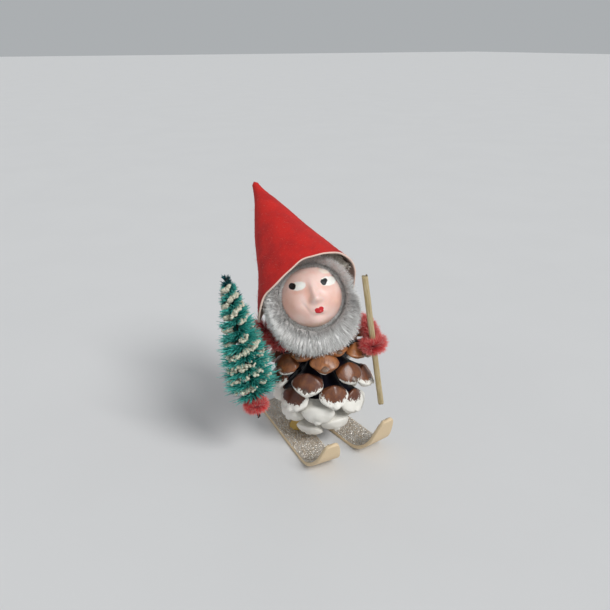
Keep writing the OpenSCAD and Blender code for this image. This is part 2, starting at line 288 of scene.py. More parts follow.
class Recipe(Sheet):
    """A Geometry Nodes tree with named sizes. It is run on a guide mesh and gives a plain mesh."""

    KINDS = {"i": "NodeSocketInt", "f": "NodeSocketFloat", "m": "NodeSocketMaterial"}

    def __init__(self, name: str, sizes: dict[str, str]) -> None:
        """Names the tree's inputs: i for a count, f for a size and m for a material."""
        super().__init__(bpy.data.node_groups.new(name, "GeometryNodeTree"))
        face = self.tree.interface
        face.new_socket("Geometry", in_out="INPUT", socket_type="NodeSocketGeometry")
        for size, kind in {**sizes, "Seed": "i", "Finish": "m"}.items():
            face.new_socket(size, in_out="INPUT", socket_type=self.KINDS[kind])
        face.new_socket("Geometry", in_out="OUTPUT", socket_type="NodeSocketGeometry")
        self.start = self.tree.nodes.new("NodeGroupInput")
        self.salt = 0
        self.draw()

    def __getitem__(self, name: str) -> bpy.types.NodeSocket:
        """One of the tree's named inputs."""
        return self.start.outputs[name]

    def draw(self) -> None:
        """Puts the tree's own nodes down."""
        raise NotImplementedError

    def chance(self, low=0.0, high=1.0) -> bpy.types.NodeSocket:
        """A number between two others, different at each point and for each call."""
        self.salt += 1
        seed = self.sum("ADD", self["Seed"], self.salt * 17.0)
        node = self.put("FunctionNodeRandomValue", {"Min": low, "Max": high, "Seed": seed}, data_type="FLOAT")
        return node.outputs[1]

    def chance_vector(self, reach: float) -> bpy.types.NodeSocket:
        """A vector with each part between -reach and reach."""
        parts = [self.chance(-reach, reach) for _ in range(3)]
        return self.put("ShaderNodeCombineXYZ", dict(enumerate(parts))).outputs[0]

    def named(self, name: str, kind: str = "FLOAT") -> bpy.types.NodeSocket:
        """A value that the guide mesh carries."""
        return self.put("GeometryNodeInputNamedAttribute", {"Name": name}, data_type=kind).outputs[0]

    def store(self, geometry, name: str, value, domain: str = "POINT", kind: str = "FLOAT") -> bpy.types.Node:
        """Keeps a value on the geometry under a name."""
        inputs = {"Geometry": geometry, "Name": name, "Value": value}
        return self.put("GeometryNodeStoreNamedAttribute", inputs, data_type=kind, domain=domain)

    def close(self, geometry) -> None:
        """Ends the tree: real geometry with its finish on."""
        real = self.put("GeometryNodeRealizeInstances", {"Geometry": geometry})
        done = self.put("GeometryNodeSetMaterial", {"Geometry": real, "Material": self["Finish"]})
        self.put("NodeGroupOutput", {0: done})

    def fibres(self, points, direction, reach, stations: int = 4) -> None:
        """Grows one tapered, slightly bent fibre from each point and ends the tree.

        Args:
            points: where the fibres are rooted.
            direction: the way each one grows.
            reach: how long each one is.
            stations: how many rings of corners each has.
        """
        line = self.put("GeometryNodeCurvePrimitiveLine", {"Start": (0, 0, 0), "End": (0, 0, 1)})
        line = self.put("GeometryNodeResampleCurve", {"Curve": line, "Count": stations})
        turned = self.put("FunctionNodeAlignRotationToVector", {"Vector": direction}, axis="Z")
        stretch = self.put("ShaderNodeCombineXYZ", {0: 1.0, 1: 1.0, 2: reach})
        grown = self.put(
            "GeometryNodeInstanceOnPoints",
            {"Points": points, "Instance": line, "Rotation": turned, "Scale": stretch},
        )
        grown = self.store(grown, "shade", self.chance(), "INSTANCE")
        bend = self.vector("SCALE", self.chance_vector(1.0), scale=self.sum("MULTIPLY", reach, self["Curl"]))
        grown = self.store(grown, "bend", bend, "INSTANCE", "FLOAT_VECTOR")
        grown = self.put("GeometryNodeRealizeInstances", {"Geometry": grown})
        along = self.put("GeometryNodeSplineParameter").outputs["Factor"]
        grown = self.store(grown, "along", along)
        along = self.named("along")
        offset = self.vector("SCALE", self.named("bend", "FLOAT_VECTOR"), scale=self.sum("POWER", along, 2.0))
        grown = self.put("GeometryNodeSetPosition", {"Geometry": grown, "Offset": offset})
        taper = self.sum("SUBTRACT", 1.0, self.sum("MULTIPLY", self.sum("POWER", along, 3.0), 0.7))
        uneven = self.sum("ADD", 0.7, self.sum("MULTIPLY", self.named("shade"), 0.6))
        width = self.sum("MULTIPLY", self.sum("MULTIPLY", self["Thickness"], taper), uneven)
        profile = self.put("GeometryNodeCurvePrimitiveCircle", {"Resolution": 3, "Radius": 1.0})
        swept = {"Curve": grown, "Profile Curve": profile, "Scale": width, "Fill Caps": True}
        self.close(self.put("GeometryNodeCurveToMesh", swept))

    def run(
        self, guide: bpy.types.Object, name: str, seed: int, finish: bpy.types.Material, **sizes
    ) -> bpy.types.Object:
        """Runs the tree on a guide mesh, which it uses up.

        Args:
            guide: the mesh that the tree starts from.
            name: what the piece is called.
            seed: fixes whatever is random.
            finish: the piece's material.
            sizes: the other inputs, in metres, by name.

        Returns:
            A plain mesh object.
        """
        given = {**sizes, "Seed": seed, "Finish": finish}
        modifier = guide.modifiers.new(self.tree.name, "NODES")
        modifier.node_group = self.tree
        for item in self.tree.interface.items_tree:
            if item.in_out == "INPUT" and item.name in given:
                modifier[item.identifier] = given[item.name]
        guide.update_tag()
        graph = bpy.context.evaluated_depsgraph_get()
        mesh = bpy.data.meshes.new_from_object(
            guide.evaluated_get(graph), preserve_all_data_layers=True, depsgraph=graph
        )
        guide.modifiers.clear()
        bpy.data.objects.remove(guide)
        mesh.name = name
        mesh.polygons.foreach_set("use_smooth", [True] * len(mesh.polygons))
        piece = bpy.data.objects.new(name, mesh)
        bpy.context.collection.objects.link(piece)
        return piece


class Pile(Recipe):
    """Fibres that stand out all round a path, as on chenille stem or a bristle tree."""

    def __init__(self) -> None:
        """Names the sizes of a pile."""
        kinds = {"Fibres": "i", "Thickness": "f", "Curl": "f", "Turns": "f", "Uneven": "f", "Splay": "f"}
        super().__init__("pile", kinds)

    def draw(self) -> None:
        """Roots the fibres along the path and turns each one out from it."""
        path = self.put("GeometryNodeMeshToCurve", {0: self["Geometry"]})
        roots = self.put("GeometryNodeCurveToPoints", {"Curve": path, "Count": self["Fibres"]}, mode="COUNT")
        tangent = roots.outputs["Tangent"]
        out = self.vector("NORMALIZE", self.named("out", "FLOAT_VECTOR"))
        side = self.vector("CROSS_PRODUCT", tangent, out)
        share = self.sum("DIVIDE", self.put("GeometryNodeInputIndex").outputs[0], self["Fibres"])
        wound = self.sum("MULTIPLY", self.sum("MULTIPLY", share, self["Turns"]), TURN)
        strand = self.sum("MULTIPLY", self.sum("FLOOR", self.chance(0.0, 2.0)), math.pi)
        around = self.sum("MULTIPLY", self.named("spread"), self.chance(-1.0, 1.0))
        arm = self.sum("MULTIPLY", strand, self.named("strands"))
        angle = self.sum("ADD", self.sum("ADD", wound, arm), around)
        across = self.vector(
            "ADD",
            self.vector("SCALE", out, scale=self.sum("COSINE", angle)),
            self.vector("SCALE", side, scale=self.sum("SINE", angle)),
        )
        tipped = self.sum("MULTIPLY", self["Splay"], self.chance(-1.0, 1.0))
        splay = self.vector("SCALE", tangent, scale=tipped)
        direction = self.vector("ADD", self.vector("ADD", across, splay), self.named("lean", "FLOAT_VECTOR"))
        shortest = self.sum("SUBTRACT", 1.0, self["Uneven"])
        reach = self.sum("MULTIPLY", self.named("pile"), self.chance(shortest, 1.0))
        self.fibres(roots.outputs["Points"], direction, reach)


class Nap(Recipe):
    """Stray fibres that lie along a felted surface."""

    def __init__(self) -> None:
        """Names the sizes of a nap."""
        super().__init__("nap", {"Per area": "f", "Thickness": "f", "Curl": "f", "Reach": "f", "Lift": "f"})

    def draw(self) -> None:
        """Scatters the roots and lays each fibre nearly flat."""
        where = {"Mesh": self["Geometry"], "Density": self["Per area"], "Seed": self["Seed"]}
        roots = self.put("GeometryNodeDistributePointsOnFaces", where, distribute_method="RANDOM")
        normal = roots.outputs["Normal"]
        flat = self.vector("CROSS_PRODUCT", normal, self.chance_vector(1.0))
        lifted = self.vector("SCALE", normal, scale=self["Lift"])
        direction = self.vector("ADD", self.vector("NORMALIZE", flat), lifted)
        reach = self.sum("MULTIPLY", self["Reach"], self.chance(0.35, 1.0))
        self.fibres(roots.outputs["Points"], direction, reach)


class Flakes(Recipe):
    """Thin mica flakes set every way on a surface."""

    def __init__(self) -> None:
        """Names the sizes of a coat of flakes."""
        super().__init__("flakes", {"Per area": "f", "Smallest": "f", "Largest": "f", "Tilt": "f"})

    def draw(self) -> None:
        """Scatters five-sided plates and tips each one."""
        where = {"Mesh": self["Geometry"], "Density": self["Per area"], "Seed": self["Seed"]}
        roots = self.put("GeometryNodeDistributePointsOnFaces", where, distribute_method="RANDOM")
        plate = self.put(
            "GeometryNodeMeshCylinder",
            {"Vertices": 5, "Side Segments": 1, "Fill Segments": 1, "Radius": 1.0, "Depth": 0.16},
            fill_type="NGON",
        )
        tipped = self.vector("SCALE", self.chance_vector(1.0), scale=self["Tilt"])
        direction = self.vector("ADD", roots.outputs["Normal"], tipped)
        turned = self.put("FunctionNodeAlignRotationToVector", {"Vector": direction}, axis="Z")
        size = self.chance(self["Smallest"], self["Largest"])
        points, plate = roots.outputs["Points"], plate.outputs["Mesh"]
        placed = {"Points": points, "Instance": plate, "Rotation": turned, "Scale": size}
        grown = self.put("GeometryNodeInstanceOnPoints", placed)
        self.close(self.store(grown, "shade", self.chance(), "INSTANCE"))


class TwistedWire(Recipe):
    """Two strands wound round a path."""

    def __init__(self) -> None:
        """Names the sizes of a twisted wire."""
        super().__init__("twisted wire", {"Strand": "f", "Pitch": "f", "Step": "f"})

    def draw(self) -> None:
        """Winds each strand and gives it its thickness."""
        path = self.put("GeometryNodeMeshToCurve", {0: self["Geometry"]})
        path = self.put("GeometryNodeResampleCurve", {"Curve": path, "Length": self["Step"]}, mode="LENGTH")
        out = self.vector("NORMALIZE", self.named("out", "FLOAT_VECTOR"))
        side = self.vector("CROSS_PRODUCT", self.put("GeometryNodeInputTangent"), out)
        travelled = self.put("GeometryNodeSplineParameter").outputs["Length"]
        turn = self.sum("MULTIPLY", self.sum("DIVIDE", travelled, self["Pitch"]), TURN)
        both = self.put("GeometryNodeJoinGeometry")
        profile = self.put("GeometryNodeCurvePrimitiveCircle", {"Resolution": 6, "Radius": 1.0})
        for start in (0.0, math.pi):
            angle = self.sum("ADD", turn, start)
            offset = self.vector(
                "ADD",
                self.vector("SCALE", out, scale=self.sum("COSINE", angle)),
                self.vector("SCALE", side, scale=self.sum("SINE", angle)),
            )
            offset = self.vector("SCALE", offset, scale=self["Strand"])
            strand = self.put("GeometryNodeSetPosition", {"Geometry": path, "Offset": offset})
            swept = {"Curve": strand, "Profile Curve": profile, "Scale": self["Strand"], "Fill Caps": True}
            made = self.put("GeometryNodeCurveToMesh", swept)
            self.tree.links.new(made.outputs[0], both.inputs[0])
        self.close(both)


class Crust(Recipe):
    """Grains that have run together into one lumpy crust."""

    def __init__(self) -> None:
        """Names the sizes of a crust."""
        super().__init__("crust", {"Voxel": "f", "Grain": "f"})

    def draw(self) -> None:
        """Melts balls round the guide's points into one skin and roughens it."""
        balls = {"Mesh": self["Geometry"], "Radius": self.named("size")}
        points = self.put("GeometryNodeMeshToPoints", balls)
        filled = self.put(
            "GeometryNodePointsToVolume",
            {"Points": points, "Voxel Size": self["Voxel"], "Radius": self.named("size")},
            resolution_mode="VOXEL_SIZE",
        )
        skin = self.put(
            "GeometryNodeVolumeToMesh",
            {"Volume": filled, "Voxel Size": self["Voxel"], "Threshold": 0.1},
            resolution_mode="VOXEL_SIZE",
        )
        grain = self.put("ShaderNodeTexNoise", {"Scale": 1.4 / MM, "Detail": 3.0})
        amount = self.sum("MULTIPLY", self.sum("SUBTRACT", grain.outputs[0], 0.5), self["Grain"])
        offset = self.vector("SCALE", self.put("GeometryNodeInputNormal"), scale=amount)
        self.close(self.put("GeometryNodeSetPosition", {"Geometry": skin, "Offset": offset}))


# ---------------------------------------------------------------- finishes


class Paint(Sheet):
    """The node tree of one material."""

    def place(self) -> bpy.types.NodeSocket:
        """The point being shaded, in the piece's own space."""
        return self.put("ShaderNodeTexCoord").outputs["Object"]

    def carried(self, name: str, vector: bool = False) -> bpy.types.NodeSocket:
        """A value that the mesh carries."""
        node = self.put("ShaderNodeAttribute", attribute_name=name)
        return node.outputs["Vector" if vector else "Fac"]

    def grain(self, at, size: float, detail: float = 3.0, roughness: float = 0.55) -> bpy.types.NodeSocket:
        """Noise from 0 to 1 with features of a size given in the vector's own unit."""
        inputs = {"Vector": at, "Scale": 1 / size, "Detail": detail, "Roughness": roughness}
        return self.put("ShaderNodeTexNoise", inputs).outputs[0]

    def stretched(self, at, factors: tuple[float, float, float]) -> bpy.types.NodeSocket:
        """The same place with each axis scaled."""
        return self.vector("MULTIPLY", at, factors)

    def sway(self, value, reach: float) -> bpy.types.NodeSocket:
        """Noise from 0 to 1, moved to swing either way round 0 over a reach in all."""
        return self.sum("MULTIPLY", self.sum("SUBTRACT", value, 0.5), reach)

    def rise(self, value, low: float, high: float, to=(0.0, 1.0)) -> bpy.types.NodeSocket:
        """Goes smoothly from one end of a range to the other."""
        inputs = {"Value": value, "From Min": low, "From Max": high, "To Min": to[0], "To Max": to[1]}
        return self.put("ShaderNodeMapRange", inputs, interpolation_type="SMOOTHSTEP").outputs[0]

    def mix(self, share, first, second, blend: str = "MIX") -> bpy.types.NodeSocket:
        """Blends two colours."""
        node = self.put("ShaderNodeMix", data_type="RGBA", blend_type=blend)
        for key, value in ((0, share), (6, first), (7, second)):
            if isinstance(value, bpy.types.NodeSocket):
                self.tree.links.new(value, node.inputs[key])
            else:
                node.inputs[key].default_value = value
        return node.outputs[2]

    def spot(self, x, z, at: tuple[float, float], wide: tuple[float, float], soft: float, wobble=0.0):
        """An oval on a flat pair of coordinates.

        Args:
            x, z: the coordinates.
            at: its centre.
            wide: its half axes.
            soft: the width of its edge, as a share of its size.
            wobble: added to its distance, to make the edge uneven.

        Returns:
            1 inside and 0 outside.
        """
        dx = self.sum("DIVIDE", self.sum("SUBTRACT", x, at[0]), wide[0])
        dz = self.sum("DIVIDE", self.sum("SUBTRACT", z, at[1]), wide[1])
        far = self.sum("SQRT", self.sum("ADD", self.sum("MULTIPLY", dx, dx), self.sum("MULTIPLY", dz, dz)))
        return self.rise(self.sum("ADD", far, wobble), 1.0 + soft / 2, 1.0 - soft / 2)

    def bumped(self, height, depth: float, normal=None) -> bpy.types.NodeSocket:
        """A bump of a depth in millimetres."""
        inputs = {"Height": height, "Distance": depth * MM, "Strength": 1.0}
        if normal is not None:
            inputs["Normal"] = normal
        return self.put("ShaderNodeBump", inputs).outputs[0]

    def surface(self, **inputs) -> None:
        """Ends the tree in a principled surface. An underscore in a name stands for a space."""
        named = {key.replace("_", " "): value for key, value in inputs.items()}
        shader = self.put("ShaderNodeBsdfPrincipled", named)
        self.put("ShaderNodeOutputMaterial", {"Surface": shader})


@dataclass(frozen=True)
class Finish:
    """A finish, painted once and then shared by the pieces that have it."""

    name: str

    def material(self) -> bpy.types.Material:
        """The finish's material."""
        found = bpy.data.materials.get(self.name)
        if found is None:
            found = bpy.data.materials.new(self.name)
            found.use_nodes = True
            found.node_tree.nodes.clear()
            self.paint(Paint(found.node_tree))
        return found

    def paint(self, sheet: Paint) -> None:
        """Draws the finish's nodes."""
        raise NotImplementedError


@dataclass(frozen=True)
class SawnWood(Finish):
    """Thin wood, grained along the piece, with painted shade darkening its cut edges."""

    pale: str = "dcbc8c"
    dark: str = "a97f4e"
    # painted shade for the strip's cut edges
    edge_shade: str = "4a3226"

    def paint(self, sheet: Paint) -> None:
        """Draws the grain along the strip and darkens its edges with painted shade."""
        at = sheet.carried("strip", vector=True)
        fine = sheet.grain(sheet.stretched(at, (0.10, 2.2, 2.2)), 0.9, 4.0)
        broad = sheet.grain(sheet.stretched(at, (0.05, 0.6, 0.6)), 1.1, 2.0)
        wood = sheet.mix(sheet.rise(fine, 0.38, 0.72), rgb(self.pale), rgb(self.dark))
        wood = sheet.mix(sheet.rise(broad, 0.35, 0.75, (0.0, 0.35)), wood, rgb(self.dark))
        # painted shade: every cut edge of the strip is darkened
        edge = sheet.sum("ADD", sheet.carried("edge"), sheet.sum("MULTIPLY", fine, 0.3))
        wood = sheet.mix(sheet.rise(edge, 0.45, 1.0), wood, rgb(self.edge_shade))
        sheet.surface(Base_Color=wood, Roughness=0.62, Normal=sheet.bumped(fine, 0.05))


@dataclass(frozen=True)
class MicaCoat(Finish):
    """Greyish glue full of fine mica, with amber glue run into it near the feet."""

    clear: str = "cbc4bb"
    shade: str = "a0978d"
    amber: str = "b08a4c"

    def paint(self, sheet: Paint) -> None:
        """Draws the mottled coat and its amber stain."""
        at = sheet.place()
        speck = sheet.grain(at, 0.35 * MM, 4.0, 0.7)
        patch = sheet.grain(at, 2.6 * MM, 2.0)
        coat = sheet.mix(sheet.rise(speck, 0.32, 0.70), rgb(self.shade), rgb(self.clear))
        stain = sheet.sum("MULTIPLY", sheet.carried("stain"), sheet.rise(patch, 0.25, 0.6, (0.4, 1.0)))
        coat = sheet.mix(stain, coat, rgb(self.amber))
        gloss = sheet.rise(speck, 0.35, 0.65, (0.18, 0.6))
        sheet.surface(
            Base_Color=coat, Roughness=gloss, Normal=sheet.bumped(speck, 0.12), Coat_Weight=0.35,
            Coat_Roughness=0.12,
        )


@dataclass(frozen=True)
class MicaFlake(Finish):
    """Bright flakes of mica, each with its own faint hue."""

    silver: str = "f1ece4"
    bronze: str = "c9b8a2"

    def paint(self, sheet: Paint) -> None:
        """Picks a hue for each flake and makes it shine."""
        shade = sheet.carried("shade")
        hue = sheet.mix(sheet.rise(shade, 0.3, 0.9), rgb(self.silver), rgb(self.bronze))
        sheet.surface(Base_Color=hue, Metallic=0.55, Roughness=sheet.rise(shade, 0.0, 1.0, (0.12, 0.34)))


@dataclass(frozen=True)
class AmberGlue(Finish):
    """Set resin glue, glossy and cloudy."""

    honey: str = "d9940f"
    deep: str = "8a5206"

    def paint(self, sheet: Paint) -> None:
        """Draws cloudy honey with a hard gloss."""
        cloud = sheet.grain(sheet.place(), 1.6 * MM, 3.0)
        tone = sheet.mix(sheet.rise(cloud, 0.3, 0.7), rgb(self.deep), rgb(self.honey))
        sheet.surface(
            Base_Color=tone, Roughness=0.12, Coat_Weight=0.6, Coat_Roughness=0.08, Transmission_Weight=0.25,
            IOR=1.5, Normal=sheet.bumped(cloud, 0.1),
        )


@dataclass(frozen=True)
class NavyPaint(Finish):
    """Thin blue-black paint over rough wood."""

    ink: str = "15131f"
    worn: str = "2c2630"

    def paint(self, sheet: Paint) -> None:
        """Draws streaky ink."""
        at = sheet.place()
        streak = sheet.grain(at, 1.0 * MM, 4.0)
        tone = sheet.mix(sheet.rise(streak, 0.45, 0.75), rgb(self.ink), rgb(self.worn))
        sheet.surface(Base_Color=tone, Roughness=0.55, Normal=sheet.bumped(streak, 0.2))


@dataclass(frozen=True)
class ConeScale(Finish):
    """Lacquered pine-cone scale: ink on its stalk, brown wood on its shield and white paint from below."""

    orange: str = "a2673a"
    red_brown: str = "5d3425"
    ink: str = "15131f"
    white: str = "edeae2"
    grey: str = "6b635a"
    umbo: str = "4a3a30"

    def paint(self, sheet: Paint) -> None:
        """Lays wood, the grey boss, ink and white paint over each other."""
        at = sheet.carried("grain", vector=True)
        fibre = sheet.grain(sheet.stretched(at, (0.5, 1.6, 1.6)), 0.9, 4.0)
        patch = sheet.grain(at, 2.1, 3.0)
        tone = sheet.sum("ADD", sheet.carried("tone"), sheet.sway(patch, 1.1))
        wood = sheet.mix(sheet.rise(tone, 0.0, 1.0), rgb(self.red_brown), rgb(self.orange))
        wood = sheet.mix(sheet.rise(fibre, 0.46, 0.74, (0.0, 0.65)), wood, rgb(self.red_brown))
        centre = sheet.carried("spot")
        wobble = sheet.sway(fibre, 0.16)
        boss = sheet.rise(sheet.sum("ADD", centre, wobble), 0.25, 0.17)
        wood = sheet.mix(sheet.sum("MULTIPLY", boss, 0.75), wood, rgb(self.grey))
        ring = sheet.sum("ABSOLUTE", sheet.sum("SUBTRACT", sheet.sum("ADD", centre, wobble), 0.25))
        wood = sheet.mix(sheet.rise(ring, 0.06, 0.015, (0.0, 0.8)), wood, rgb(self.umbo))
        inked = sheet.sum("ADD", sheet.carried("stalk"), sheet.sway(fibre, 0.5))
        wood = sheet.mix(sheet.rise(inked, 0.40, 0.62), wood, rgb(self.ink))
        ragged = sheet.sway(sheet.grain(at, 0.55, 3.0), 0.34)
        painted = sheet.rise(sheet.sum("ADD", sheet.carried("paint"), ragged), -0.012, 0.03)
        chalk = sheet.grain(at, 1.5, 3.0)
        white = sheet.mix(sheet.rise(chalk, 0.62, 0.86, (0.0, 0.25)), rgb(self.white), rgb(self.grey))
        colour = sheet.mix(painted, wood, white)
        height = sheet.sum("ADD", sheet.sum("MULTIPLY", fibre, 0.5), painted)
        sheet.surface(
            Base_Color=colour, Roughness=sheet.rise(painted, 0.0, 1.0, (0.36, 0.62)),
            Normal=sheet.bumped(sheet.sum("ADD", height, sheet.sum("MULTIPLY", chalk, 0.4)), 0.12),
            Coat_Weight=0.15, Coat_Roughness=0.3,
        )


@dataclass(frozen=True)
class CottonWool(Finish):
    """Pressed cotton."""

    pale: str = "e9e4d9"
    shade: str = "b9b1a3"

    def paint(self, sheet: Paint) -> None:
        """Draws soft, mottled cotton."""
        wool = sheet.grain(sheet.place(), 0.7 * MM, 5.0, 0.7)
        tone = sheet.mix(sheet.rise(wool, 0.35, 0.7), rgb(self.shade), rgb(self.pale))
        sheet.surface(Base_Color=tone, Roughness=0.95, Normal=sheet.bumped(wool, 0.25))


@dataclass(frozen=True)
class DollFace(Finish):
    """Glossy moulded face with hand-painted features, placed on the face's own flat coordinates."""

    skin: str = "f6d5cb"
    blush: str = "e5a184"
    # painted shade under the chin
    tan: str = "c9a183"
    white: str = "fbf7f0"
    # painted highlight: a glossy off-white spot on the right brow ridge
    brow_highlight: str = "f4e9da"
    black: str = "0b0d10"
    red: str = "c8101c"

    def paint(self, sheet: Paint) -> None:
        """Paints the blush, painted shade beside the nose and under the chin, a painted highlight on the
        right brow, and the whites, pupils and lips over the skin.
        """
        face = sheet.put("ShaderNodeSeparateXYZ", {0: sheet.carried("face", vector=True)})
        x, z = face.outputs[0], face.outputs[2]
        at = sheet.place()
        hand = sheet.sway(sheet.grain(at, 0.8 * MM, 2.0), 0.35)
        cloud = sheet.grain(at, 3.2 * MM, 2.0)
        skin = sheet.mix(sheet.rise(cloud, 0.3, 0.75, (0.0, 0.25)), rgb(self.skin), rgb(self.blush))
        for spot_at, wide, amount in (
            ((-7.6, -1.4), (2.6, 3.4), 0.45),
            ((6.6, -2.2), (2.8, 2.6), 0.35),
            # painted shade down the left side of the nose, in the blush colour
            ((-1.6, 0.9), (0.9, 3.0), 0.55),
            ((-3.0, -4.4), (1.4, 1.6), 0.30),
            ((4.6, 2.0), (2.6, 0.8), 0.25),
            ((-4.6, 2.2), (2.2, 0.7), 0.35),
        ):
            share = sheet.sum("MULTIPLY", sheet.spot(x, z, spot_at, wide, 1.6), amount)
            skin = sheet.mix(share, skin, rgb(self.blush))
        # painted shade: the skin darkens to tan towards and under the chin
        skin = sheet.mix(sheet.rise(z, -6.6, -9.6, (0.0, 0.75)), skin, rgb(self.tan))
        # painted highlight: a glossy off-white spot on the right brow ridge
        brow_highlight = sheet.spot(x, z, (6.2, 7.4), (2.9, 1.25), 0.35, hand)
        skin = sheet.mix(sheet.sum("MULTIPLY", brow_highlight, 0.85), skin, rgb(self.brow_highlight))
        for spot_at, wide in (((-4.0, 4.0), (2.3, 1.35)), ((5.7, 3.95), (2.7, 1.45))):
            skin = sheet.mix(sheet.spot(x, z, spot_at, wide, 0.30, hand), skin, rgb(self.white))
        for spot_at, wide in (
            ((-5.75, 4.2), (1.02, 1.08)),
            ((3.72, 4.02), (0.78, 0.72)), ((4.55, 4.25), (0.72, 0.68)), ((4.0, 3.6), (0.85, 0.72)),
        ):
            skin = sheet.mix(sheet.spot(x, z, spot_at, wide, 0.12, hand), skin, rgb(self.black))
        for spot_at, wide in (
            ((0.35, -4.1), (0.78, 0.62)), ((1.45, -3.9), (0.80, 0.66)), ((0.9, -4.45), (1.25, 0.68)),
        ):
            skin = sheet.mix(sheet.spot(x, z, spot_at, wide, 0.12, hand), skin, rgb(self.red))
        sheet.surface(
            Base_Color=skin, Roughness=0.30, Coat_Weight=0.45, Coat_Roughness=0.14, Subsurface_Weight=0.12,
            Subsurface_Scale=1.2 * MM, Normal=sheet.bumped(cloud, 0.05),
        )


@dataclass(frozen=True)
class PileFibre(Finish):
    """Dyed fibre with painted shade darkening its root and a paler tip as a painted highlight, each fibre
    with its own random shade.
    """

    root: str
    middle: str
    tip: str
    odd: str
    odd_share: float = 0.15
    roughness: float = 0.75
    sheen: float = 0.25

    def paint(self, sheet: Paint) -> None:
        """Colours each fibre from its painted-shade root to its painted-highlight tip."""
        along, shade = sheet.carried("along"), sheet.carried("shade")
        # painted shade at the root, deep in the pile, and a painted highlight at the tip
        colour = sheet.mix(sheet.rise(along, 0.0, 0.55), rgb(self.root), rgb(self.middle))
        colour = sheet.mix(sheet.rise(along, 0.62, 1.0), colour, rgb(self.tip))
        odd = sheet.rise(shade, self.odd_share + 0.03, self.odd_share)
        colour = sheet.mix(sheet.sum("MULTIPLY", odd, 0.8), colour, rgb(self.odd))
        patch = sheet.grain(sheet.place(), 2.4 * MM, 2.0)
        colour = sheet.mix(sheet.rise(patch, 0.5, 0.78, (0.0, 0.4)), colour, rgb(self.root))
        sheet.surface(
            Base_Color=colour, Roughness=self.roughness, Sheen_Weight=self.sheen, Sheen_Roughness=0.5
        )


@dataclass(frozen=True)
class IronWire(Finish):
    """Thin dark iron wire, dull and slightly rusted."""

    steel: str = "4c4846"
    rust: str = "33241e"

    def paint(self, sheet: Paint) -> None:
        """Draws dull metal with rusty patches."""
        patch = sheet.grain(sheet.place(), 0.8 * MM, 4.0)
        tone = sheet.mix(sheet.rise(patch, 0.45, 0.65), rgb(self.steel), rgb(self.rust))
        gloss = sheet.rise(patch, 0.4, 0.7, (0.32, 0.7))
        sheet.surface(Base_Color=tone, Metallic=0.8, Roughness=gloss, Normal=sheet.bumped(patch, 0.03))


@dataclass(frozen=True)
class VelourPaper(Finish):
    """Red flocked paper: matt outside, pale where it is cut and pinkish grey inside."""

    bright: str = "cc1a12"
    deep: str = "9c1018"
    fleck: str = "e2553f"
    cut: str = "efd3c4"
    lining: str = "a68f85"

    def paint(self, sheet: Paint) -> None:
        """Draws the flock, its flecks, the cut edge and the lining."""
        at = sheet.place()
        fine = sheet.grain(at, 0.28 * MM, 4.0, 0.75)
        patch = sheet.grain(at, 5.0 * MM, 3.0)
        flock = sheet.mix(sheet.rise(patch, 0.32, 0.72, (0.0, 0.55)), rgb(self.bright), rgb(self.deep))
        flock = sheet.mix(sheet.rise(fine, 0.55, 0.80, (0.0, 0.55)), flock, rgb(self.fleck))
        flock = sheet.mix(sheet.rise(fine, 0.42, 0.25, (0.0, 0.6)), flock, rgb(self.deep))
        inner = sheet.mix(sheet.rise(patch, 0.3, 0.7, (0.0, 0.4)), rgb(self.lining), rgb(self.cut))
        colour = sheet.mix(sheet.rise(sheet.carried("lining"), 0.45, 0.55), flock, inner)
        colour = sheet.mix(sheet.rise(sheet.carried("cut"), 0.35, 0.75), colour, rgb(self.cut))
        sheet.surface(
            Base_Color=colour, Roughness=0.95, Sheen_Weight=0.03, Sheen_Roughness=0.6,
            Normal=sheet.bumped(fine, 0.16),
        )


@dataclass(frozen=True)
class ModelSnow(Finish):
    """Cream artificial snow with dark specks of bristle in it."""

    cream: str = "e2dcc8"
    shade: str = "b3ae97"
    speck: str = "2f5a55"

    def paint(self, sheet: Paint) -> None:
        """Draws grainy cream."""
        at = sheet.place()
        grain = sheet.grain(at, 0.5 * MM, 4.0, 0.7)
        tone = sheet.mix(sheet.rise(grain, 0.35, 0.6), rgb(self.shade), rgb(self.cream))
        dark = sheet.grain(at, 0.32 * MM, 2.0)
        tone = sheet.mix(sheet.rise(dark, 0.66, 0.72, (0.0, 0.7)), tone, rgb(self.speck))
        sheet.surface(Base_Color=tone, Roughness=0.9, Normal=sheet.bumped(grain, 0.25))


@dataclass(frozen=True)
class SplitStick(Finish):
    """Pale split wood with one side darker."""

    pale: str = "cbbb98"
    warm: str = "a8925f"
    dark: str = "4b3b2a"

    def paint(self, sheet: Paint) -> None:
        """Draws long grain and the dark side."""
        at = sheet.carried("strip", vector=True)
        fine = sheet.grain(sheet.stretched(at, (0.12, 1.5, 1.5)), 0.45, 4.0)
        wood = sheet.mix(sheet.rise(fine, 0.35, 0.68), rgb(self.pale), rgb(self.warm))
        side = sheet.sum("ADD", sheet.carried("edge"), sheet.sway(fine, 0.9))
        wood = sheet.mix(sheet.rise(side, 0.55, 0.8), wood, rgb(self.dark))
        sheet.surface(Base_Color=wood, Roughness=0.7, Normal=sheet.bumped(fine, 0.1))


@dataclass(frozen=True)
class PalePaint(Finish):
    """Plain pale paint for the floor."""

    tone: str

    def paint(self, sheet: Paint) -> None:
        """Draws faintly uneven paint."""
        patch = sheet.grain(sheet.place(), 60 * MM, 3.0)
        tone = sheet.mix(sheet.rise(patch, 0.3, 0.7, (0.0, 0.06)), rgb(self.tone), rgb("b9b9b9"))
        sheet.surface(Base_Color=tone, Roughness=0.6)


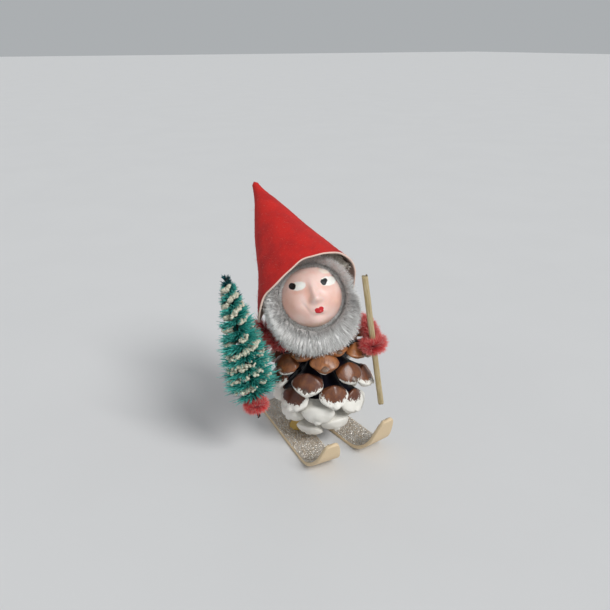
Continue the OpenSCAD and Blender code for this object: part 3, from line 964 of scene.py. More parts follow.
class Finishes:
    """Every finish on the tomte."""

    SKI_WOOD = SawnWood("ski_wood")
    MICA_COAT = MicaCoat("mica_coat")
    MICA_FLAKE = MicaFlake("mica_flake")
    GLUE = AmberGlue("amber_glue")
    NAVY = NavyPaint("navy_paint")
    SCALE = ConeScale("cone_scale")
    COTTON = CottonWool("cotton_wool")
    FACE = DollFace("doll_face")
    # For every PileFibre in this table, the root colour is painted shade and the tip colour a painted
    # highlight.
    WHITE_PILE = PileFibre("white_pile", "bab8b3", "f0efed", "fdfdfb", "aba7a0", 0.14)
    FUR = PileFibre("brow_fur", "e0cbc4", "f6e4de", "fdf6f2", "cbb6af", 0.12)
    RED_PILE = PileFibre("red_pile", "a80c1a", "e52430", "fb857c", "ffc8be", 0.14)
    BRISTLE = PileFibre("bristle", "0e6560", "1aa196", "62d2c5", "0a4346", 0.20, 0.35, 0.0)
    TIP_BRISTLE = PileFibre("tip_bristle", "0a2c33", "0b4a50", "1d6f76", "121c24", 0.30, 0.35, 0.0)
    WIRE = IronWire("iron_wire")
    VELOUR = VelourPaper("velour_paper")
    STRAY = PileFibre("stray_fibre", "b3271f", "c9402f", "d9705c", "e8a090", 0.12, 0.8, 0.05)
    SNOW = ModelSnow("model_snow")
    STICK = SplitStick("split_stick")
    FLOOR = PalePaint("pale_floor", "d8d8d8")


# ---------------------------------------------------------------- workbench


class Bench:
    """Turns drafts into pieces and settles each piece on its body."""

    def __init__(self, frame: dict) -> None:
        """Finds the cone's axis in the frame."""
        self.frame = frame
        low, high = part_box("cone_axis")
        self.axis = Vector(((low.x + high.x) / 2, (low.y + high.y) / 2, 0))
        self.pile, self.nap, self.flakes = Pile(), Nap(), Flakes()
        self.wire, self.crust = TwistedWire(), Crust()

    def mesh(self, name: str, draft: Draft, finish: Finish | None = None) -> bpy.types.Object:
        """Makes an object of a draft.

        Args:
            name: what it is called.
            draft: its corners and faces, in millimetres from the cone's axis.
            finish: its finish, or None for a guide.

        Returns:
            The object, in metres in the frame.
        """
        mesh = bpy.data.meshes.new(name)
        places = [Vector(p) * MM + self.axis for p in draft.points]
        mesh.from_pydata(places, draft.edges, draft.faces)
        for key, given in draft.values.items():
            flat = np.array(given, np.float32)
            kind, slot = ("FLOAT_VECTOR", "vector") if flat.ndim > 1 else ("FLOAT", "value")
            mesh.attributes.new(key, kind, "POINT").data.foreach_set(slot, flat.ravel())
        mesh.update()
        if finish is not None:
            form = bmesh.new()
            form.from_mesh(mesh)
            bmesh.ops.recalc_face_normals(form, faces=form.faces)
            form.to_mesh(mesh)
            form.free()
            mesh.materials.append(finish.material())
            mesh.polygons.foreach_set("use_smooth", [True] * len(mesh.polygons))
        piece = bpy.data.objects.new(name, mesh)
        bpy.context.collection.objects.link(piece)
        return piece

    def path(self, points: np.ndarray, outs: np.ndarray, closed: bool = False, **values) -> bpy.types.Object:
        """Makes a guide path that carries the values which a pile or a wire asks for.

        Args:
            points: the path, in millimetres.
            outs: a direction square to the path at each point.
            closed: whether its end meets its start.
            values: more values by name: pile and size in millimetres, lean, spread and strands as they are.

        Returns:
            The guide.
        """
        count = len(points)
        draft = Draft(edges=[(i, i + 1) for i in range(count - 1)] + ([(count - 1, 0)] if closed else []))
        given = {"pile": 1.0, "spread": math.pi, "strands": 0.0, "lean": (0.0, 0.0, 0.0), **values}
        filled = {
            key: np.broadcast_to(np.asarray(value, float), (count, 3) if key == "lean" else (count,)).tolist()
            for key, value in given.items()
        }
        filled["pile"] = (np.array(filled["pile"]) * MM).tolist()
        draft.add(points.tolist(), out=outs.tolist(), **filled)
        return self.mesh("guide", draft)

    def pelt(
        self, guide: bpy.types.Object, name: str, seed: int, finish: Finish, place: tuple, fibres: int,
        thick: float, curl: float, uneven: float, splay: float, turns: float = 0.0,
        share: float = QUICK_SHARE,
    ) -> None:
        """Grows a pile on a guide path and settles it.

        Args:
            guide: the path.
            name: what the piece is called.
            seed: fixes whatever is random.
            finish: the fibres' finish.
            place: its body, its slot and the solids that it stands for.
            fibres: how many there are.
            thick: how thick a fibre is, in millimetres.
            curl: how far a fibre bends, as a share of its length.
            uneven: how much shorter the shortest fibres are, as a share.
            splay: how far fibres lean along the path.
            turns: how many turns the fibres' arms make along the path.
        """
        count = int(fibres * (1.0))
        piece = self.pile.run(
            guide, name, seed, finish.material(), Fibres=count, Thickness=thick * MM, Curl=curl, Turns=turns,
            Uneven=uneven, Splay=splay,
        )
        self.settle(piece, *place)

    def twisted(
        self, name: str, points: np.ndarray, outs: np.ndarray, strand: float = 0.24, closed: bool = False
    ) -> bpy.types.Object:
        """Makes a twisted wire along a path."""
        guide = self.path(points, outs, closed)
        return self.wire.run(
            guide, name, 1, Finishes.WIRE.material(), Strand=strand * MM, Pitch=1.9 * MM, Step=0.22 * MM
        )

    def softened(
        self, name: str, node: str, finish: Finish, voxel: float, swell: float, size: float, sink: float = 0.0
    ) -> bpy.types.Object:
        """Makes a lumpy piece from a plain solid of the frame.

        Args:
            name: what the piece is called.
            node: the frame's solid.
            finish: the piece's finish.
            voxel: how fine it is, in millimetres.
            swell: how far its surface moves in and out, in millimetres.
            size: how wide its lumps are, in millimetres.
            sink: how far in the whole surface goes, in millimetres.

        Returns:
            The piece.
        """
        form = bmesh.new()
        form.from_mesh(self.frame["nodes"][node].data)
        bmesh.ops.remove_doubles(form, verts=form.verts, dist=0.001 * MM)
        mesh = bpy.data.meshes.new(name)
        form.to_mesh(mesh)
        form.free()
        piece = bpy.data.objects.new(name, mesh)
        bpy.context.collection.objects.link(piece)
        remesh = piece.modifiers.new("remesh", "REMESH")
        remesh.mode, remesh.voxel_size = "VOXEL", voxel * MM
        even = piece.modifiers.new("even", "SMOOTH")
        even.factor, even.iterations = 0.5, 4
        graph = bpy.context.evaluated_depsgraph_get()
        piece.data = bpy.data.meshes.new_from_object(piece.evaluated_get(graph), depsgraph=graph)
        piece.modifiers.clear()
        for corner in piece.data.vertices:
            lump = rough(corner.co / MM, size) + 0.5 * rough(corner.co / MM, size * 0.4, 9.0)
            corner.co += corner.normal * ((lump * swell - sink) * MM)
        piece.data.materials.clear()
        piece.data.materials.append(finish.material())
        piece.data.polygons.foreach_set("use_smooth", [True] * len(piece.data.polygons))
        return piece

    @staticmethod
    def settle(piece: bpy.types.Object, body: Body, slot: str, *stands_for: str) -> None:
        """Puts a finished piece on its body and hides the solids that it stands for."""
        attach(piece, body.value)
        if stands_for:
            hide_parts(*stands_for)
        log.info("%s: %d faces on %s", piece.name, len(piece.data.polygons), body.value)


@dataclass
class Studio:
    """A plain pale floor, soft light and the camera."""

    eye: tuple[float, float, float] = (-91.6, -148.1, 125.3)
    heading: float = -30.0
    pitch: float = 24.0
    lens: float = 35.0
    floor_reach: float = 6000.0

    def build(self, bench: Bench) -> None:
        """Sets the floor, the light and the camera up."""
        self.camera(bench)
        self.floor(bench)
        self.light(bench)

    def camera(self, bench: Bench) -> None:
        """Stands the camera where it looks down on the tomte's right front."""
        data = bpy.data.cameras.new("camera")
        data.lens, data.sensor_width = self.lens, 36.0
        data.clip_start, data.clip_end = 0.005, 10.0
        camera = bpy.data.objects.new("camera", data)
        camera.location = Vector(self.eye) * MM + bench.axis
        camera.rotation_euler = (math.radians(90 - self.pitch), 0, math.radians(self.heading))
        bpy.context.collection.objects.link(camera)
        bpy.context.scene.camera = camera

    def floor(self, bench: Bench) -> None:
        """Lays the floor that the tomte stands on."""
        far = self.floor_reach
        draft = Draft()
        draft.add([(-far, -far, 0), (far, -far, 0), (far, far, 0), (-far, far, 0)], [(0, 1, 2, 3)])
        floor = bench.mesh("floor", draft)
        floor.data.materials.append(Finishes.FLOOR.material())

    def light(self, bench: Bench) -> None:
        """Fills the room with even light and adds two soft lamps."""
        world = bpy.data.worlds.new("studio")
        world.use_nodes = True
        world.node_tree.nodes["Background"].inputs[0].default_value = (0.93, 0.97, 1.0, 1.0)
        world.node_tree.nodes["Background"].inputs[1].default_value = 0.44
        bpy.context.scene.world = world
        turn = Matrix.Rotation(math.radians(self.heading), 4, "Z")
        for name, at, soft, power in (
            ("window", (640.0, -560.0, 860.0), 24.0, 2.05), ("room", (-620.0, -700.0, 700.0), 50.0, 0.12),
        ):
            data = bpy.data.lights.new(name, "SUN")
            data.angle, data.energy = math.radians(soft), power
            lamp = bpy.data.objects.new(name, data)
            lamp.location = (turn @ Vector(at)) * MM + bench.axis
            lamp.rotation_euler = (bench.axis - lamp.location).to_track_quat("-Z", "Y").to_euler()
            bpy.context.collection.objects.link(lamp)
        bpy.context.scene.view_settings.view_transform = "Standard"


# ---------------------------------------------------------------- skis


@dataclass
class Ski:
    """One wooden strip with a turned-up tip, a mica coat and flakes."""

    side: str
    centre: float
    toe: float
    tip: float
    feet: tuple[float, float]
    seed: int
    width: float = 10.2
    thick: float = 1.1
    back: float = 24.0
    bend_at: float = 11.5
    bend_r: float = 12.5
    bend: float = math.radians(70)
    taper: float = 8.5
    blunt: float = 1.5
    coat: float = 0.3
    flakes: float = 9.0
    quick_flakes: float = 4.0

    @property
    def length(self) -> float:
        """The strip's length along its sole."""
        return self.back + self.bend_at + self.bend_r * self.bend + self.tip

    def line(self, travel: float, height: float) -> tuple[float, float]:
        """Where the strip is, ahead and up, at some travel from its heel and a height above its sole."""
        flat = self.back + self.bend_at
        turned = min(max(travel - flat, 0) / self.bend_r, self.bend)
        straight = max(travel - flat - self.bend_r * self.bend, 0)
        radius = self.bend_r - height
        ahead = min(travel, flat) - self.back + radius * math.sin(turned) + straight * math.cos(self.bend)
        return ahead, self.bend_r - radius * math.cos(turned) + straight * math.sin(self.bend)

    def half_width(self, travel: float) -> float:
        """Half the strip's width, which draws in to a tongue at its tip."""
        front = self.line(self.length, 0)[0]
        share = min(max((self.line(travel, 0)[0] - front + self.taper) / self.taper, 0), 1)
        return self.blunt + (self.width / 2 - self.blunt) * (1 - share**1.9) ** (1 / 1.9)

    def place(self, travel: float, across: float, height: float) -> tuple[float, float, float]:
        """Puts a point of the strip where the ski stands."""
        ahead, up = self.line(travel, height)
        turn = math.radians(self.toe - 90)
        return (
            self.centre + ahead * math.cos(turn) - across * math.sin(turn),
            ahead * math.sin(turn) + across * math.cos(turn),
            up,
        )

    def stations(self, ends: float = 0.0) -> np.ndarray:
        """Travels along the strip, closer together in the bend and at the tip."""
        flat = self.back + self.bend_at
        return np.concatenate([np.linspace(ends, flat, 40)[:-1], np.linspace(flat, self.length - ends, 44)])

    def strip(self) -> Draft:
        """The wooden strip, with eased edges."""
        draft, ease, across = Draft(), 0.14, np.linspace(-1, 1, 11)
        stations = self.stations()
        loop = [(v, 0.0, 0.0) for v in across] + [(1, ease, 1.0), (1, self.thick - ease, 1.0)]
        loop += [(v, self.thick, 0.0) for v in across[::-1]] + [(-1, self.thick - ease, 1.0), (-1, ease, 1.0)]
        points, strip, edge = [], [], []
        for travel in stations:
            half = self.half_width(travel)
            for v, height, side in loop:
                width = v * (half if side else half - ease)
                wave = 0.05 * rough((travel, width, height), 3.0, self.seed)
                points.append(self.place(travel, width + wave, height))
                strip.append((travel, width + 40 * self.seed, height))
                edge.append(side)
        count = len(loop)
        faces = ring_faces(len(stations), count)
        faces += end_faces(len(stations), count)
        draft.add(points, faces, strip=strip, edge=edge)
        return draft

    def mica(self, lift: float, closed: bool) -> Draft:
        """The lumpy coat on the strip, or only its top as a guide for the flakes."""
        draft, across = Draft(), np.linspace(-1, 1, 25)
        stations = self.stations(0.35)
        points, stain = [], []
        for travel in stations:
            half = self.half_width(travel) - 0.3
            for v in across:
                drawn_in = 1 - abs(v) ** 8
                lump = 0.10 * rough((travel, v * half, 0), 1.3, self.seed)
                height = self.thick + lift * (0.35 + 0.65 * drawn_in) + lump * drawn_in
                points.append(self.place(travel, v * half, height))
            if closed:
                points += [self.place(travel, v * half, self.thick - 0.05) for v in across[::-1]]
        for x, y, _ in points:
            stain.append(float(math.exp(-(math.hypot(x - self.feet[0], y - self.feet[1]) / 7.0) ** 2)))
        count = len(across) * (2 if closed else 1)
        if closed:
            faces = ring_faces(len(stations), count)
            faces += end_faces(len(stations), count)
        else:
            faces = [
                (r * count + c, (r + 1) * count + c, (r + 1) * count + c + 1, r * count + c + 1)
                for r in range(len(stations) - 1) for c in range(count - 1)
            ]
        draft.add(points, faces, stain=stain)
        return draft

    def build(self, bench: Bench) -> None:
        """Makes the strip, its coat and its flakes."""
        strip = bench.mesh(f"ski_{self.side}_strip", self.strip(), Finishes.SKI_WOOD)
        bench.settle(strip, Body.ROOT, "ski_wood", f"ski_{self.side}")
        coat = bench.mesh(f"ski_{self.side}_mica", self.mica(self.coat * 0.8, True), Finishes.MICA_COAT)
        bench.settle(coat, Body.ROOT, "mica_glitter", f"ski_{self.side}_glitter")
        guide = bench.mesh("guide", self.mica(self.coat, False))
        amount = self.flakes
        flakes = bench.flakes.run(
            guide, f"ski_{self.side}_flakes", self.seed, Finishes.MICA_FLAKE.material(), Tilt=0.6,
            Smallest=0.07 * MM, Largest=0.34 * MM, **{"Per area": amount / MM**2},
        )
        bench.settle(flakes, Body.ROOT, "mica_glitter")
        glue = bench.softened(f"glue_{self.side}_drop", f"glue_{self.side}", Finishes.GLUE, 0.3, 0.35, 2.2)
        bench.settle(glue, Body.ROOT, "amber_glue", f"glue_{self.side}")


# ---------------------------------------------------------------- pine cone


@dataclass
class PineCone:
    """The body: an inked core and scales that follow the golden angle, counted from the lowest."""

    first: int = 1
    shoulder: int = 30
    last: int = 41
    first_z: float = 4.8
    rise: float = 1.0
    rise_top: float = 0.45
    bearing: float = math.radians(-27)
    core_r: float = 6.4
    core_top: float = 39.4
    sides: int = 36
    rows: tuple = (("bottom", 8), ("lower", 17), ("middle", 26), ("upper", 34), ("top", 41))
    reach: tuple = ((1, 9, 14, 22, 30, 35, 38, 41), (9.8, 14.5, 17, 18, 17, 15.4, 13.6, 11.6))
    droop: tuple = ((1, 9, 18, 30, 41), (56, 46, 30, 15, 4))
    half_w: tuple = ((1, 9, 12, 22, 30, 41), (4.4, 5.2, 4.8, 4.8, 4.6, 3.6))
    half_h: tuple = ((1, 9, 14, 26, 34, 41), (3.6, 4.1, 3.4, 2.9, 2.1, 1.6))
    cover: tuple = (
        (1, 8, 10, 14, 18, 22, 25, 28, 30, 31, 41),
        (1.5, 1.4, 0.85, 0.66, 0.62, 0.55, 0.46, 0.3, 0.14, -0.3, -0.5),
    )
    tone: tuple = ((1, 14, 22, 27, 31, 41), (0.05, 0.10, 0.28, 0.50, 0.85, 0.95))
    brim: float = 0.79  # how far along a scale its face begins
    stalk: tuple = (
        (0.0, 0.42, 0.40), (0.18, 0.48, 0.36), (0.34, 0.56, 0.36), (0.46, 0.66, 0.42), (0.55, 0.77, 0.54),
        (0.62, 0.87, 0.68), (0.68, 0.94, 0.81), (0.73, 0.98, 0.92), (0.765, 1.0, 0.98), (0.79, 0.995, 1.0),
    )
    shield: tuple = (0.96, 0.90, 0.82, 0.73, 0.63, 0.53, 0.43, 0.34, 0.27, 0.21, 0.16, 0.10, 0.05)

    def height(self, n: int) -> float:
        """How high the n-th scale's end is."""
        level = self.first_z + self.rise * (min(n, self.shoulder) - self.first)
        return level + self.rise_top * max(n - self.shoulder, 0)

    def axes(self, n: int) -> tuple[np.ndarray, np.ndarray, np.ndarray, np.ndarray, float]:
        """Places the n-th scale.

        Returns:
            Its root, the way it points, its across and its up, and its length.
        """
        turn = self.bearing + GOLDEN_ANGLE * (n - self.shoulder) - math.pi / 2
        out = np.array([math.cos(turn), math.sin(turn), 0])
        across = np.array([-math.sin(turn), math.cos(turn), 0])
        reach, low = np.interp(n, *self.reach), self.height(n)
        steep = math.tan(math.radians(min(np.interp(n, *self.droop), 50)))
        run = reach - self.core_r + 1.0
        root_z = min(low + run * steep, self.core_top - 2.4)
        root = out * (reach - run) + np.array([0, 0, root_z])
        way = out * reach + np.array([0, 0, low]) - root
        length = float(np.linalg.norm(way))
        return root, way / length, across, np.cross(way / length, across), length

    def stations(self) -> list[tuple[float, float, float, float]]:
        """Rings along a scale: how far along, how wide, how high and how far from its boss each is."""
        rings = [(u, wide, high, 1.0 + (self.brim - u) * 2) for u, wide, high in self.stalk]
        for r in self.shield:
            swell = 0.21 * (1 - r**2.3) ** 0.85
            boss = 0.035 * float(smooth(0.24, 0.16, r)) - 0.012 * math.exp(-(((r - 0.30) / 0.06) ** 2))
            rings.append((self.brim + swell + boss, r, r, r))
        return rings

    def scale(self, draft: Draft, n: int) -> None:
        """Adds one scale: a stalk that flares into a lozenge with a raised boss."""
        root, way, across, up, length = self.axes(n)
        half_w, half_h = np.interp(n, *self.half_w), np.interp(n, *self.half_h)
        cover, tone = np.interp(n, *self.cover), np.interp(n, *self.tone)
        chance = random.Random(n * 7)
        tone += chance.uniform(-0.15, 0.15)
        half_w *= chance.uniform(0.94, 1.06)
        dipped = smooth(11, 8, n)
        lean = 0.66 * (1 - dipped)
        squareness = 1.42 + 0.5 * dipped
        stations = self.stations()
        points, paint, stalks, spots, grain = [], [], [], [], []
        for u, wide, high, spot in stations:
            power = 2 / (2 - (2 - squareness) * float(smooth(0.45, 0.75, u)))
            for k in range(self.sides):
                angle = TURN * (k + 0.5) / self.sides
                cos, sin = math.cos(angle), math.sin(angle)
                w = half_w * wide * math.copysign(abs(cos) ** power, cos)
                h = half_h * high * math.copysign(abs(sin) ** power, sin)
                level = h / half_h
                local = np.array([u * length, w, h])
                lump = rough(local, 2.0, n) * 0.30 + rough(local, 0.8, n) * 0.10
                keel = 0.35 * math.exp(-((level / 0.22) ** 2)) * smooth(0.76, 0.9, u) * (1 - dipped)
                field = cover - (level * 0.5 + 0.5)
                field += 0.10 * rough((w, h, n), 1.3, n) + 0.08 * rough((w, 0, n), 0.7, n)
                field -= 2.2 * float(smooth(0.66 - 0.22 * dipped, 0.48 - 0.22 * dipped, u))
                thick = 0.22 * float(smooth(-0.02, 0.10, field)) * (1 + 1.2 * dipped)
                outward = across * (w / half_w) + up * (h / half_h) + way * float(smooth(0.74, 0.95, u))
                outward = outward / max(np.linalg.norm(outward), 1e-6)
                along = u * length + (keel + lump * 0.5) - lean * h * float(smooth(0.5, 0.8, u))
                points.append(root + way * along + across * w + up * h + outward * (thick + lump * 0.5))
                paint.append(field)
                stalks.append(float(smooth(0.70, 0.54, u)))
                spots.append(spot)
                grain.append((local + n * 13.7).tolist())
        rows, sides = len(stations), self.sides
        faces = ring_faces(rows, sides)
        for row, middle in ((0, True), (rows - 1, False)):
            ring = points[row * sides : (row + 1) * sides]
            points.append(np.mean(ring, 0) + way * (0 if middle else 0.05))
            centre = rows * sides + (0 if middle else 1)
            faces += [(row * sides + k, row * sides + (k + 1) % sides, centre) for k in range(sides)]
            paint.append(paint[row * sides])
            stalks.append(stalks[row * sides])
            spots.append(0.0 if not middle else 2.0)
            grain.append(grain[row * sides])
        draft.add(
            [p.tolist() for p in points], faces, paint=paint, stalk=stalks, spot=spots, grain=grain,
            tone=[tone] * len(points),
        )

    def build(self, bench: Bench) -> None:
        """Makes the core and each row of scales."""
        core = bench.softened("cone_core", "cone_axis", Finishes.NAVY, 0.4, 0.5, 2.0)
        bench.settle(core, Body.ROOT, "cone_core", "cone_axis")
        start = self.first
        for row, end in self.rows:
            draft = Draft()
            for n in range(start, end + 1):
                self.scale(draft, n)
            piece = bench.mesh(f"cone_scales_{row}", draft, Finishes.SCALE)
            slot = "cone_scale_dipped" if row == "bottom" else "cone_scale_brown"
            bench.settle(piece, Body.ROOT, slot, f"scales_{row}")
            start = end + 1


# ---------------------------------------------------------------- head


@dataclass
class FaceFrame:
    """The face's own axes: +X its left, -Y ahead of it and +Z its crown."""

    centre: tuple[float, float, float] = (-4.0, 0.0, 51.5)
    yaw: float = -24.6
    tilt: float = -24.2
    roll: float = -8.0

    def __post_init__(self) -> None:
        """Works the turn out."""
        turns = ((self.yaw, "Z"), (self.tilt, "X"), (self.roll, "Y"))
        matrix = Matrix.Identity(3)
        for angle, axis in turns:
            matrix = matrix @ Matrix.Rotation(math.radians(angle), 3, axis)
        self.turn = np.array(matrix)

    def out(self, points) -> np.ndarray:
        """Moves points from the face's frame to the figure's."""
        return np.asarray(points) @ self.turn.T + np.array(self.centre)

    def aim(self, vectors) -> np.ndarray:
        """Turns directions from the face's frame to the figure's."""
        return np.asarray(vectors) @ self.turn.T


@dataclass
class Head:
    """The ball, the moulded face over its front and the glue that holds it to the cone."""

    face: FaceFrame
    ball_r: float = 9.0
    face_r: float = 10.0
    edge: float = 96.0
    gap: float = 0.05
    lip: float = 0.5
    rings: int = 84
    sides: int = 150

    def relief(self, x: np.ndarray, z: np.ndarray) -> np.ndarray:
        """How far the features stand out of the round face."""
        out = 1.55 * hill(x, z, (0.55, -0.75), (1.45, 1.25))
        out += 0.95 * hill(x, z, (0.15, 1.6), (1.05, 2.5), 6)
        out += 0.30 * hill(x, z, (-0.85, -1.15), (0.8, 0.7)) + 0.30 * hill(x, z, (1.95, -1.1), (0.8, 0.7))
        for side, wide in ((-4.2, 2.9), (5.4, 3.0)):
            out -= 0.75 * hill(x, z, (side, 3.7), (wide, 2.0))
            out += 0.62 * hill(x, z, (side, 3.9), (2.0, 1.25))
            out += 0.30 * hill(x, z, (side, 7.0), (2.8, 1.1))
        out += 0.50 * hill(x, z, (-5.8, -2.0), (2.6, 2.3)) + 0.50 * hill(x, z, (6.0, -2.2), (2.4, 2.2))
        out += 0.55 * hill(x, z, (0.9, -4.15), (1.9, 1.3)) + 0.30 * hill(x, z, (0.9, -4.6), (1.2, 0.5))
        out -= 0.24 * hill(x, z, (0.85, -4.2), (1.5, 0.16)) + 0.30 * hill(x, z, (0.8, -6.0), (1.9, 0.6))
        out += 0.65 * hill(x, z, (0.2, -7.6), (2.2, 1.5))
        out -= 0.18 * hill(x, z, (-2.9, -3.0), (0.45, 1.9), 28)
        out -= 0.15 * hill(x, z, (4.2, -3.0), (0.45, 1.8), -28)
        return out

    def shell(self) -> Draft:
        """The moulded face as one closed shell."""
        slopes = np.linspace(0, 1, self.rings + 1)[1:] ** 0.92 * math.radians(self.edge)
        turns = np.linspace(0, TURN, self.sides, endpoint=False)
        slope, turn = np.meshgrid(slopes, turns, indexing="ij")
        ball = np.stack([np.sin(slope) * np.cos(turn), -np.cos(slope), np.sin(slope) * np.sin(turn)], -1)
        flat_at = self.face_r * ball * (1, 0, 1)
        inside = self.ball_r + self.gap
        outside = self.face_r + self.relief(flat_at[..., 0], flat_at[..., 2])
        outside -= self.lip * smooth(math.radians(self.edge - 8), math.radians(self.edge), slope)
        size = self.rings * self.sides
        points = np.concatenate([(ball * outside[..., None]).reshape(-1, 3), (ball * inside).reshape(-1, 3)])
        middle = self.face_r + float(self.relief(np.zeros(1), np.zeros(1))[0])
        tops = [[0, -middle, 0], [0, -inside, 0]]
        faces = ring_faces(self.rings, self.sides) + ring_faces(self.rings, self.sides, size, True)
        last = (self.rings - 1) * self.sides
        for side in range(self.sides):
            ahead = (side + 1) % self.sides
            faces.append((last + side, last + ahead, size + last + ahead, size + last + side))
            faces.append((2 * size, ahead, side))
            faces.append((2 * size + 1, size + side, size + ahead))
        carried = np.concatenate([flat_at.reshape(-1, 3), flat_at.reshape(-1, 3), np.zeros((2, 3))])
        draft = Draft()
        draft.add(self.face.out(np.vstack([points, tops])).tolist(), faces, face=carried.tolist())
        return draft

    def build(self, bench: Bench) -> None:
        """Makes the face and the glue, and gives the ball its cotton."""
        mask = bench.mesh("moulded_face", self.shell(), Finishes.FACE)
        bench.settle(mask, Body.ROOT, "face_plastic", "face_mask")
        glue = bench.softened("neck_glue_lump", "neck_glue", Finishes.GLUE, 0.3, 0.3, 2.0)
        bench.settle(glue, Body.ROOT, "amber_glue", "neck_glue")
        ball = bench.frame["nodes"]["head_ball"]
        ball.data.materials.clear()
        ball.data.materials.append(Finishes.COTTON.material())


@dataclass
class Beard:
    """White chenille bent into a ring round the face, combed long below the chin."""

    face: FaceFrame
    ring_r: float = 10.5
    ahead: float = 3.0
    down: float = math.radians(-100)
    count: int = 240
    wire_under: float = 1.1
    nearly_round: float = 350.0
    long: tuple = (
        (-180, -135, -90, -60, -45, -30, -16, 0, 25, 45, 65, 95, 135, 180),
        (3.2, 3.7, 5.0, 5.6, 6.4, 7.6, 8.3, 8.7, 8.5, 8.1, 6.6, 4.2, 3.3, 3.2),
    )

    def ring(self, bend: np.ndarray) -> tuple[np.ndarray, np.ndarray]:
        """Points of the ring at some bearings from straight down, and the way outwards at each."""
        angle = self.down + np.radians(bend)
        out = np.stack([np.cos(angle), np.zeros_like(angle), np.sin(angle)], -1)
        return self.face.out(out * self.ring_r + np.array([0, -self.ahead, 0])), self.face.aim(out)

    def layer(
        self, bench: Bench, name: str, seed: int, bend: np.ndarray, finish: Finish, hair: tuple, **guide
    ) -> None:
        """Grows one layer of hair along part of the ring.

        Args:
            bench: the workbench.
            name: what the piece is called.
            seed: fixes whatever is random.
            bend: the bearings from straight down that it covers.
            finish: its finish.
            hair: its count, thickness, curl, unevenness and splay.
            guide: what its path carries, with forward for how far the hair leans ahead.
        """
        points, outs = self.ring(bend)
        closed = bend[-1] - bend[0] > self.nearly_round
        forward = np.broadcast_to(guide.pop("forward"), bend.shape)
        lean = np.outer(forward, self.face.aim([0, -1, 0]))
        path = bench.path(points, outs, closed, lean=lean, **guide)
        nodes = ("beard_pile",) if name == "beard_fringe" else ()
        bench.pelt(path, name, seed, finish, (Body.ROOT, "white_chenille", *nodes), *hair)

    def build(self, bench: Bench) -> None:
        """Makes the wire, the short hair all round, the long hair below and the fur over the brow."""
        whole = np.linspace(-180, 180, self.count, endpoint=False)
        points, outs = self.ring(whole)
        under = points - self.face.aim([0, -1, 0]) * self.wire_under
        wire = bench.twisted("beard_twisted_wire", under, outs, 0.16, closed=True)
        bench.settle(wire, Body.ROOT, "wire", "beard_wire")
        white, turned = Finishes.WHITE_PILE, np.abs(whole)
        self.layer(
            bench, "beard_core", 2, whole, white, (6500, 0.070, 0.25, 0.45, 0.45), spread=math.pi,
            pile=np.interp(turned, (0, 100, 140, 180), (1.9, 1.9, 2.3, 2.6)),
            forward=0.9 + 0.2 * smooth(118, 140, turned),
        )
        self.layer(
            bench, "beard_fringe", 3, whole, white, (6500, 0.075, 0.22, 0.35, 0.30), spread=1.45,
            pile=np.minimum(np.interp(whole, *self.long), 4.6), forward=0.35,
        )
        low = np.linspace(-92, 92, self.count)
        self.layer(
            bench, "beard_bib", 5, low, white, (8200, 0.105, 0.09, 0.24, 0.18),
            spread=0.40 + 0.4 * smooth(50, 90, np.abs(low)), pile=np.interp(low, *self.long),
            forward=0.30 * smooth(90, 40, np.abs(low)),
        )
        self.layer(
            bench, "brow_fur", 6, np.linspace(112, 248, self.count), Finishes.FUR,
            (3600, 0.070, 0.40, 0.45, 0.45), spread=1.2, pile=3.0, forward=1.0,
        )


# ---------------------------------------------------------------- hat


